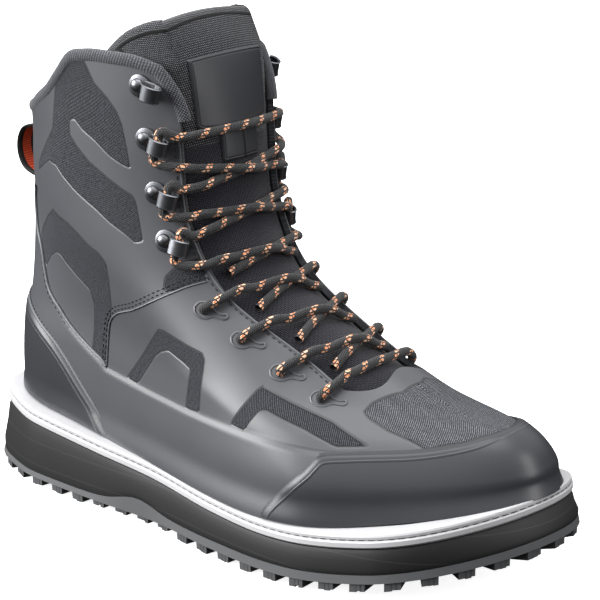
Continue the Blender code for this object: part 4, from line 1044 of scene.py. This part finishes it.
def make_sole(rubber, foam, white):
    """The outsole with its tread, the foam wedge over it, and the welt with its groove."""
    bm = bmesh.new()
    slab(bm, [
        sole_ring_fine(OUTSOLE_INSET * 0.5, lambda x: toe_spring(x) + LUG_HEIGHT, 0.0),
        sole_ring_fine(OUTSOLE_INSET, outsole_top, 0.0),
    ])
    rng = np.random.default_rng(5)
    for place, heading in outline_walk(sole_outline(OUTSOLE_INSET + LUG_DEPTH / 2, 360), LUG_PITCH):
        forward = np.array([math.cos(heading), math.sin(heading)])
        relief = arch_relief(place[0])
        for shift, length in ((-0.22, 0.0034), (0.08, 0.0026), (0.3, 0.0022)):
            spot = place + forward * shift * LUG_LENGTH
            lug_block(bm, spot, heading, length, LUG_DEPTH, relief + rng.uniform(0.0, 0.0009))
    field = sole_outline(OUTSOLE_INSET + LUG_DEPTH + 0.6 * CENTRE_LUG + 0.0015, 360)
    outer, inner = field[:181], np.vstack([field[:1], field[180:][::-1]])
    steps = int(LENGTH / CENTRE_LUG_PITCH)
    for i in range(-steps, steps):
        along = HEEL_CENTRE + i * CENTRE_LUG_PITCH
        if not field[:, 0].min() < along < field[:, 0].max():
            continue
        low = np.interp(along, outer[:, 0], outer[:, 1])
        high = np.interp(along, inner[:, 0], inner[:, 1])
        for j in range(-3, 4):
            across = j * CENTRE_LUG_PITCH
            if low - 0.001 <= across <= high + 0.001:
                lug_block(bm, np.array([along, across]), 0.0, CENTRE_LUG, CENTRE_LUG, arch_relief(along))
    made = piece("outsole_with_lugs", bm, [rubber], ("outsole",), 0.5)

    def level(share):
        return lambda x: outsole_top(x) + GAP + share * (stack_top(x) - outsole_top(x) - GAP)

    bm = bmesh.new()
    slab(bm, [
        sole_ring_fine(OUTSOLE_INSET, level(0.0), 0.0),
        sole_ring_fine(OUTSOLE_INSET * 0.8, level(0.18), 0.1),
        sole_ring_fine(STACK_INSET * 0.84, level(0.55), 0.5),
        sole_ring_fine(STACK_INSET * 0.9, level(0.85), 0.85),
        sole_ring_fine(STACK_INSET + 0.0006, level(1.0)),
    ])
    made = piece("midsole_wedge", bm, [foam], ("midsole",), 0.6)
    profile = (
        (STACK_INSET + 0.0008, GAP), (STACK_INSET + 0.0001, 0.0006), (STACK_INSET - WELT_BEAD, 0.0014),
        (STACK_INSET - WELT_BEAD, 0.0034), (STACK_INSET - 0.0002, 0.0040), (STACK_INSET + 0.0008, 0.0042),
        (STACK_INSET + 0.0009, 0.0045), (STACK_INSET + 0.0002, 0.0047), (STACK_INSET + 0.0001, 0.0058),
        (STACK_INSET + 0.0005, 0.0067), (STACK_INSET + 0.0014, WELT_HEIGHT),
        (STACK_INSET + WELT_WIDTH, WELT_HEIGHT), (STACK_INSET + WELT_WIDTH, GAP),
    )
    bm = bmesh.new()
    loops = [
        closed_ring(bm, sole_ring_fine(inset, lambda x, height=height: stack_top(x) + height))
        for inset, height in profile
    ]
    for one, two in zip(loops, loops[1:] + loops[:1]):
        bmesh.ops.bridge_loops(bm, edges=one + two)
    made = piece("welt_strip", bm, [white], ("welt",), 0.5)


def make_insole(look):
    """The footbed, with a softly broken upper edge."""
    inset = STACK_INSET + WELT_WIDTH + 2 * GAP
    bm = bmesh.new()
    slab(bm, [
        sole_ring_fine(inset, lambda x: stack_top(x) + GAP, 1.0, 160),
        sole_ring_fine(inset, lambda x: stack_top(x) + INSOLE_THICKNESS - 0.001, 1.0, 160),
        sole_ring_fine(inset + 0.001, lambda x: stack_top(x) + INSOLE_THICKNESS, 1.0, 160),
    ])
    made = piece("footbed", bm, [look], ("insole",), 0.9)


def make_binding(look):
    """The padded roll along the collar, from one corner of the throat round the back to the other."""
    path = [(float(throat_angle(row)), row) for row in np.linspace(7.45, 7.96, 12)]
    corner = float(throat_angle(TOP_ROW))
    path += [(corner * (1.0 - k / 120), float(TOP_ROW)) for k in range(121)]
    path += [(2.0 * math.pi - angle, row) for angle, row in path[-2::-1]]
    angles, rows = np.array(path).T
    edge = upper_point(angles, rows, WALL / 2)
    out = surface_normal(upper_skin, angles, np.minimum(rows, TOP_ROW - 1e-3))
    run = np.gradient(edge, axis=0)
    away = np.cross(run, out)
    away = away / np.linalg.norm(away, axis=-1, keepdims=True)
    turns = 2.0 * math.pi * np.arange(21) / 20 - 0.5 * math.pi
    centre = edge + away * (BINDING_HEIGHT / 2 - 0.0006)
    wide = out[:, None] * (BINDING_WIDTH / 2 + 0.0005) * np.cos(turns)[None, :, None]
    high = away[:, None] * (BINDING_HEIGHT / 2 + 0.0008) * np.sin(turns)[None, :, None]
    points = centre[:, None] + wide + high
    layers = {"along": arc_mm(points, 0), "up": arc_mm(points, 1)}
    bm = bmesh.new()
    moved_grid(bm, points, layers)
    made = piece("collar_edge", bm, [look], ("collar_binding",), 1.2)


def make_tongue(look, film):
    """The padded tongue, thin towards its rim, and the plate on its face."""
    reach = 1.0 + TONGUE_MARGIN
    across = reach * np.sin(0.5 * math.pi * np.linspace(-1.0, 1.0, 97))[None, :]
    lowest, highest = TONGUE[0][0], TONGUE[-1][0]
    rows = lowest + (highest - lowest) * np.sin(0.5 * math.pi * np.linspace(0.0, 1.0, 120))[:, None]
    face = tongue_skin(across, rows) * 1000.0
    border = np.vstack([face[:, 0], face[-1], face[::-1, -1]])
    edge = line_distance(face, border[::2])
    thick = np.broadcast_to(tongue_thickness(rows), edge.shape)
    roll = thick * 500.0
    inset = thick / 2 * (1.0 - np.sqrt(np.clip(1.0 - np.clip(1.0 - edge / roll, 0.0, 1.0) ** 2, 0.0, 1.0)))
    bm = bmesh.new()
    layers = {"edge": edge, "along": arc_mm(face / 1000.0, 1), "up": arc_mm(face / 1000.0, 0), "row": rows}
    moved_grid(bm, tongue_point(across, rows, inset), layers)
    moved_grid(bm, tongue_point(across, rows, thick - inset), layers)
    bmesh.ops.remove_doubles(bm, verts=bm.verts[:], dist=2e-6)
    made = piece("padded_tongue", bm, [look], ("tongue",), 1.2)
    lines = np.linspace(PLATE_ROWS[0], PLATE_ROWS[-1], 60)[:, None]
    half = np.interp(lines, PLATE_ROWS, PLATE_HALF)
    spread = half * np.linspace(-1.0, 1.0, 90)[None, :]
    flat = tongue_skin(spread, lines) * 1000.0
    border = np.vstack([flat[:, 0], flat[-1], flat[::-1, -1], flat[0, ::-1]])
    edge = line_distance(flat, border)
    points = tongue_point(spread, lines, -PLATE_GAP - PLATE_WALL * smooth_step(edge / 1.2 + 0.2))
    bm = bmesh.new()
    slit = np.abs(points[..., 1] * 1000.0 - SLIT_ACROSS) + 50.0 * (lines > SLIT_TOP_ROW)
    moved_grid(bm, points, {"edge": edge, "slit": slit, "along": arc_mm(points, 1), "up": arc_mm(points, 0)})
    bmesh.ops.recalc_face_normals(bm, faces=bm.faces[:])
    bmesh.ops.solidify(bm, geom=bm.faces[:], thickness=0.0006)
    made = piece("tongue_plate_skin", bm, [film], ("tongue_plate",), 0.8)


def smooth_path(points, pitch=0.0012):
    """A path through the points on a smooth curve, in even short steps."""
    points = np.array(points)
    reach = np.concatenate([[0.0], np.cumsum(np.sqrt(np.linalg.norm(np.diff(points, axis=0), axis=1)))])
    at = np.linspace(0.0, reach[-1], 400)
    fine = np.stack([smooth_table(reach, points[:, k], at) for k in range(3)], axis=-1)
    run = np.concatenate([[0.0], np.cumsum(np.linalg.norm(np.diff(fine, axis=0), axis=1))])
    even = np.linspace(0.0, run[-1], max(int(run[-1] / pitch), 6))
    return np.stack([np.interp(even, run, fine[:, k]) for k in range(3)], axis=-1)


def cord_grid(bm, path, radius, sides=12):
    """A round cord along a path, with its length and the way round it in mm per vertex."""
    run = np.gradient(path, axis=0)
    run = run / np.linalg.norm(run, axis=1, keepdims=True)
    normal = np.cross(run[0], (0.0, 0.0, 1.0))
    normal = normal / np.linalg.norm(normal)
    normals = []
    for tangent in run:
        normal = normal - tangent * (normal @ tangent)
        normal = normal / np.linalg.norm(normal)
        normals.append(normal)
    normals = np.array(normals)
    other = np.cross(run, normals)
    turns = 2.0 * math.pi * np.arange(sides + 1) / sides
    ring = normals[:, None] * np.cos(turns)[None, :, None] + other[:, None] * np.sin(turns)[None, :, None]
    length = np.concatenate([[0.0], np.cumsum(np.linalg.norm(np.diff(path, axis=0), axis=1))]) * 1000.0
    layers = {"along": length[:, None], "up": (turns * radius * 1000.0)[None, :]}
    moved_grid(bm, path[:, None] + radius * ring, layers)


def make_laces(look):
    """The lace: the bar and six strands through eyelets, and two runs that go on from hook to hook."""
    last = len(LACE_ROWS) - 2
    radius = LACE_DIAMETER / 2

    def into_hole(side, number):
        share, row = EYELETS[number]
        angle = share_angle(share)
        inside = upper_point(angle if side < 0 else 2.0 * math.pi - angle, row, 0.003)
        return eyelet_end(side, number) + [inside]

    bm = bmesh.new()
    row = LACE_ROWS[0]
    bar = into_hole(-1, 3)[::-1] + strand(-1, row, row, 0.0, False) + into_hole(1, 3)
    cord_grid(bm, smooth_path(bar), radius)
    for side in (-1, 1):
        run = []
        turn = side
        for low in range(last):
            run = run + lace_between(low, low + 1, turn, 0.0 if turn < 0 else 0.75 * LACE_DIAMETER)
            turn = -turn
            if low + 1 < len(EYELETS):
                run[-1:] = into_hole(turn, len(EYELETS) - 2 - low)
                cord_grid(bm, smooth_path(run), radius)
                run = []
        if turn < 0:
            row = LACE_ROWS[last] + HOOK_ROWS
            run += hook_end(-1, 1, 1) + strand(-1, row, row, 0.0, False, PLATE_GAP + PLATE_WALL)
        cord_grid(bm, smooth_path(run), radius)
    made = piece("laces", bm, [look], [f"lace_{k}" for k in range(1, 9)], 1.2)


def strip_sections(middle, thickness, width):
    """Sections of a flat strip whose middle line is given in X and Z. Its width is along Y."""
    run = np.gradient(middle, axis=0)
    run = run / np.linalg.norm(run, axis=1, keepdims=True)
    off = np.stack([-run[:, 1], run[:, 0]], axis=-1) * thickness / 2
    edge = min(thickness * 0.4, width * 0.2)
    corners = ((-1.0, -1.0), (1.0, -1.0), (1.0, 1.0), (-1.0, 1.0))
    sections = []
    for place, away in zip(middle, off):
        ring = []
        for thick, side in corners:
            spot = place + away * thick
            inner = place + away * thick * 0.3
            first = (inner[0], width / 2 * side, inner[1])
            second = (spot[0], (width / 2 - edge) * side, spot[1])
            ring += [first, second] if thick * side > 0 else [second, first]
        sections.append(ring)
    return sections


def loft(bm, sections):
    """A solid through a row of closed sections."""
    loops = [closed_ring(bm, section) for section in sections]
    for one, two in zip(loops, loops[1:]):
        bmesh.ops.bridge_loops(bm, edges=one + two)
    for end in (loops[0], loops[-1]):
        bmesh.ops.contextual_create(bm, geom=end)


def hook_parts(bm):
    """A lace hook at the origin: riveted plate, dome and a tab that curls out and back over the lace."""
    half = HOOK_PLATE / 2
    turns = np.arange(28) * 2.0 * math.pi / 28
    outline = []
    for turn in turns:
        narrower = 1.0 - 0.12 * math.cos(turn)
        along = half * (0.93 * math.cos(turn) - 0.02)
        outline.append((along, half * 0.84 * math.sin(turn) * narrower, HOOK_GAP))
    ring = closed_ring(bm, outline)
    base = bmesh.ops.contextual_create(bm, geom=ring)["faces"][0]
    lift = bmesh.ops.extrude_face_region(bm, geom=[base])["geom"]
    raised = [item for item in lift if isinstance(item, bmesh.types.BMVert)]
    bmesh.ops.translate(bm, verts=raised, vec=(0.0, 0.0, HOOK_SHEET))
    rim = [item for item in lift if isinstance(item, bmesh.types.BMEdge)]
    walls = [edge for vert in raised for edge in vert.link_edges]
    upright = [edge for edge in walls if abs(edge.verts[0].co.z - edge.verts[1].co.z) > 1e-5]
    bmesh.ops.bevel(
        bm, geom=rim + list(set(upright)), offset=0.0004, segments=2, affect="EDGES", profile=0.5, material=-1
    )
    dome = bmesh.ops.create_uvsphere(bm, u_segments=28, v_segments=16, radius=RIVET_DIAMETER / 2)["verts"]
    squash = Matrix.Diagonal((1.0, 1.0, RIVET_HEIGHT / (RIVET_DIAMETER / 2), 1.0))
    place = Matrix.Translation((-0.25 * half, 0.0, HOOK_GAP + HOOK_SHEET * 0.8))
    bmesh.ops.transform(bm, matrix=place @ squash, verts=dome)
    start = TAB_START * half
    centre = np.array(hook_channel())
    reach = np.array([TAB_REACH * 0.5, TAB_LIFT * CHANNEL_HEIGHT])
    sheet = HOOK_SHEET * 1.25
    middle = [np.array([start - 0.001, HOOK_GAP + sheet / 2])]
    for turn in np.linspace(-0.5 * math.pi, 0.80 * math.pi, 30):
        middle.append(centre + reach * np.array([math.cos(turn), math.sin(turn)]))
    middle[1][1] = HOOK_GAP + sheet / 2
    loft(bm, strip_sections(np.array(middle), sheet, TAB_WIDTH))


def make_hooks(metal):
    """Four hooks on each side, mirrored on the inner one."""
    for side, mirrored in (("lateral", False), ("medial", True)):
        for number, (share, row) in enumerate(HOOKS, start=1):
            bm = bmesh.new()
            hook_parts(bm)
            matrix = surface_frame(share, row, mirrored)
            if mirrored:
                matrix = matrix @ Matrix.Diagonal((1.0, -1.0, 1.0, 1.0))
            bmesh.ops.transform(bm, matrix=matrix, verts=bm.verts[:])
            made = piece(f"lace_hook_{side}_{number}", bm, [metal], (f"hook_{side}_{number}",), 0.5)


def make_pull_loop(look):
    """Webbing folded into a flat loop, with its ends on the back seam."""
    seat = upper_point(0.0, LOOP_ROW)
    half = LOOP_HEIGHT / 2
    centre = [(0.0, -half), (0.35, -0.98 * half), (0.8, -0.75 * half), (1.0, -0.3 * half)]
    centre += [(1.0, 0.3 * half), (0.8, 0.75 * half), (0.35, 0.98 * half), (0.0, half)]
    near = -GAP - LOOP_SHEET * 0.2
    middle = [(near - reach * LOOP_REACH, 0.0, height) for reach, height in centre]
    middle = smooth_path(middle, 0.0008)[:, (0, 2)]
    low, high = upper_point(0.0, LOOP_ROW - 0.5), upper_point(0.0, LOOP_ROW + 0.5)
    slope = (high[0] - low[0]) / (high[2] - low[2])
    bm = bmesh.new()
    loft(bm, strip_sections(middle, LOOP_SHEET, LOOP_WIDTH))
    for vert in bm.verts:
        vert.co.x = seat[0] + min(vert.co.x, -GAP) + slope * vert.co.z
        vert.co.z += seat[2]
    made = piece("webbing_loop", bm, [look], ("pull_loop",), 0.7)


LOOKUP_STEPS = 700
LOOKUP = upper_skin(
    np.linspace(0.0, math.pi, LOOKUP_STEPS)[:, None],
    np.linspace(0.0, TOP_ROW, LOOKUP_STEPS)[None, :],
)


def locate(outline, pitch=1.0):
    """Angle and row on the outer side for a line given in side view in mm, in steps of the pitch."""
    outline = np.asarray(outline, float)
    run = np.concatenate([[0.0], np.cumsum(np.linalg.norm(np.diff(outline, axis=0), axis=1))])
    reach = np.concatenate([[0.0], np.cumsum(np.sqrt(np.diff(run)))])
    at = np.linspace(0.0, reach[-1], 600)
    fine = np.stack([smooth_table(reach, outline[:, k], at) for k in (0, 1)], axis=-1)
    run = np.concatenate([[0.0], np.cumsum(np.linalg.norm(np.diff(fine, axis=0), axis=1))])
    even = np.linspace(0.0, run[-1], max(int(run[-1] / pitch), 4))
    wanted = np.stack([np.interp(even, run, fine[:, k]) for k in (0, 1)], axis=-1) / 1000.0
    found = []
    for x, z in wanted:
        off = (LOOKUP[..., 0] - (x - HEEL_CENTRE)) ** 2 + (LOOKUP[..., 2] - z) ** 2
        i, j = np.unravel_index(np.argmin(off), off.shape)
        found.append((math.pi * i / (LOOKUP_STEPS - 1), TOP_ROW * j / (LOOKUP_STEPS - 1)))
    found = np.array(found)
    soft = found.copy()
    for _ in range(3):
        soft[1:-1] = (soft[:-2] + 2.0 * soft[1:-1] + soft[2:]) / 4.0
    return soft


def on_side(line, side, lift):
    """Points and outward directions of a line of angles and rows, on the outer side, -1, or the inner, 1."""
    angles = line[:, 0] if side < 0 else 2.0 * math.pi - line[:, 0]
    rows = np.clip(line[:, 1], 0.002, TOP_ROW - 0.002)
    return upper_point(angles, rows, -lift), surface_normal(upper_skin, angles, rows)


def stitch(bm, centre, run, out, length, radius):
    """One stitch: a small rounded grain of thread lying along its line."""
    made = bmesh.ops.create_icosphere(bm, subdivisions=1, radius=1.0)["verts"]
    run = run / np.linalg.norm(run)
    side = np.cross(out, run)
    side = side / np.linalg.norm(side)
    out = np.cross(run, side)
    columns = np.stack([run * length / 2, side * radius, out * radius], axis=-1)
    matrix = Matrix([[*columns[k], centre[k]] for k in range(3)] + [[0.0, 0.0, 0.0, 1.0]])
    bmesh.ops.transform(bm, matrix=matrix, verts=made)


def stitch_row(bm, points, outs, pitch, length, radius, shift=0.0):
    """Stitches in even steps along a line, moved sideways by the shift."""
    runs = np.gradient(points, axis=0)
    sides = np.cross(outs, runs)
    sides = sides / np.linalg.norm(sides, axis=1, keepdims=True)
    points = points + sides * shift
    distance = np.concatenate([[0.0], np.cumsum(np.linalg.norm(np.diff(points, axis=0), axis=1))])
    for at in np.arange(pitch / 2, distance[-1], pitch):
        spot = [np.interp(at, distance, points[:, k]) for k in range(3)]
        run = [np.interp(at, distance, runs[:, k]) for k in range(3)]
        out = [np.interp(at, distance, outs[:, k]) for k in range(3)]
        stitch(bm, np.array(spot), np.array(run), np.array(out), length, radius)


def counter_seam_line():
    """The heel counter's border on the outer side, from the welt up and back round the heel."""
    up = np.linspace(0.0, 1.0, 60)
    _, edge = counter_sides(up)
    side = np.stack([edge, OVERLAY_ROW + (counter_top(edge) - OVERLAY_ROW) * up], axis=-1)
    angles = np.linspace(float(edge[-1]), 0.0, 80)[1:]
    return np.vstack([side, np.stack([angles, counter_top(angles)], axis=-1)])


def make_seams(thread, cord, light):
    """Stitch rows, the piping of the heel and the raised lines round the eyelets and the throat."""
    dark, pale, raised = bmesh.new(), bmesh.new(), bmesh.new()
    piping = locate(PIPING)
    vamp = locate(VAMP_SEAM)
    counter = counter_seam_line()
    for side in (-1, 1):
        points, outs = on_side(piping, side, 0.0004)
        cord_grid(raised, points, 0.0008, 8)
        stitch_row(dark, points, outs, 0.0030, 0.0020, FINE_THREAD, side * 0.0022)
        points, outs = on_side(vamp, side, 0.0002)
        cord_grid(raised, points, 0.00045, 6)
        for shift in (0.0016, 0.0034):
            stitch_row(dark, points, outs, 0.0028, 0.0019, FINE_THREAD, -side * shift)
        points, outs = on_side(counter, side, 0.0006)
        cord_grid(raised, points, 0.0009, 8)
        for shift in (-0.0012, 0.0012):
            stitch_row(dark, points, outs, 0.0026, 0.0020, THICK_THREAD, shift)
        rows = np.linspace(THROAT_ROW + 0.1, 7.3, 150)
        points, _ = on_side(np.stack([throat_angle(rows) - 0.016, rows], axis=-1), side, 0.0002)
        cord_grid(raised, points, 0.0005, 6)
        points, outs = on_side(np.stack([throat_angle(rows) - 0.05, rows], axis=-1), side, 0.0002)
        stitch_row(dark, points, outs, 0.0032, 0.0021, THROAT_THREAD)
        for share, row in EYELETS:
            seat = np.array(surface_frame(share, row, side > 0))
            turn = 1.0 if side < 0 else -1.0
            flat = smooth_path([(x / 1000.0, turn * y / 1000.0, 0.0) for x, y in EYELET_LINE], 0.0006)
            points = flat @ seat[:3, :3].T + seat[:3, 3]
            cord_grid(raised, points, 0.00052, 6)
    made = piece("seam_thread", dark, [thread])
    made = piece("raised_lines", raised, [cord], (), 1.2)
    plan = sole_ring_fine(STACK_INSET + 0.0007, lambda x: stack_top(x) + 0.00445, 1.0, 720)
    plan = np.vstack([plan, plan[:1]])
    outs = np.cross(np.gradient(plan, axis=0), (0.0, 0.0, 1.0))
    stitch_row(pale, plan, outs, 0.0046, 0.0036, THICK_THREAD)
    made = piece("welt_stitches", pale, [light])


def area_light(name, place, aim, size, power):
    """A soft lamp, given its place and the point it looks at."""
    data = bpy.data.lights.new(name, "AREA")
    data.shape = "RECTANGLE"
    data.size, data.size_y = size
    data.energy = power
    light = bpy.data.objects.new(name, data)
    bpy.context.scene.collection.objects.link(light)
    light.location = place
    light.rotation_euler = (Vector(aim) - Vector(place)).to_track_quat("-Z", "Y").to_euler()


def make_stage():
    """The white floor, the bright surroundings, three soft lamps and the camera."""
    bm = bmesh.new()
    bmesh.ops.create_grid(bm, x_segments=2, y_segments=2, size=FLOOR_REACH)
    mesh = bpy.data.meshes.new("floor")
    bm.to_mesh(mesh)
    bm.free()
    floor = bpy.data.objects.new("floor", mesh)
    bpy.context.scene.collection.objects.link(floor)
    material, _, shader, _, _ = new_material("matt white floor", "f4f4f4", 0.9, 0.0, 0.005)
    shader.inputs["Emission Color"].default_value = linear("ffffff")
    shader.inputs["Emission Strength"].default_value = FLOOR_GLOW
    mesh.materials.append(material)
    floor.visible_diffuse = False
    floor.visible_glossy = False
    world = bpy.data.worlds.new("studio")
    world.use_nodes = True
    tree = world.node_tree
    heading = add_node(tree, "TexCoord")
    up = add_node(tree, "SeparateXYZ", heading, out=2)
    sky = add_node(tree, "MapRange", up, *SKY_RISE, *SKY_STRENGTH, **SMOOTH)
    tree.links.new(sky, tree.nodes["Background"].inputs["Strength"])
    tree.nodes["Background"].inputs["Color"].default_value = linear("ffffff")
    scene = bpy.context.scene
    scene.world = world
    for lamp in LAMPS:
        area_light(*lamp)
    data = bpy.data.cameras.new("camera")
    data.lens = CAMERA_LENS
    data.sensor_width = CAMERA_SENSOR
    camera = bpy.data.objects.new("camera", data)
    scene.collection.objects.link(camera)
    azimuth, elevation = math.radians(CAMERA_AZIMUTH), math.radians(CAMERA_ELEVATION)
    away = Vector((
        math.sin(azimuth) * math.cos(elevation),
        -math.cos(azimuth) * math.cos(elevation),
        math.sin(elevation),
    ))
    camera.location = Vector(CAMERA_AIM) + CAMERA_DISTANCE * away
    camera.rotation_euler = (-away).to_track_quat("-Z", "Y").to_euler()
    scene.camera = camera
    scene.view_settings.view_transform = "Standard"


def main():
    lining = knit_look("lining knit", "26272a", "3c3d42", 1.1)
    knit = knit_look("collar knit", "303136", "74757b", 1.0)
    skin = skin_look()
    make_upper(upper_look(), lining)
    make_overlay("toe_cap_skin", "toe_cap", skin, cap_sides, cap_top, TOE_CAP_WALL, 150, 50)
    make_overlay("heel_counter_skin", "heel_counter", skin, counter_sides, counter_top, COUNTER_WALL, 120, 50)
    rubber = new_material("tread rubber", "4a4b4d", 0.7, 0.0, 0.04)[0]
    make_sole(rubber, foam_look(), welt_look())
    make_insole(lining)
    make_binding(knit)
    make_tongue(tongue_look(), plate_look())
    make_laces(lace_look())
    make_hooks(metal_look())
    make_pull_loop(webbing_look())
    thread = new_material("dark seam thread", "1c1c1e", 0.8, 0.0, 0.02)[0]
    cord = new_material("film over piping", "5a5c60", 0.40, 0.0, 0.01)[0]
    make_seams(thread, cord, new_material("welt thread", "3a3a3c", 0.8, 0.0, 0.02)[0])
    make_stage()


main()
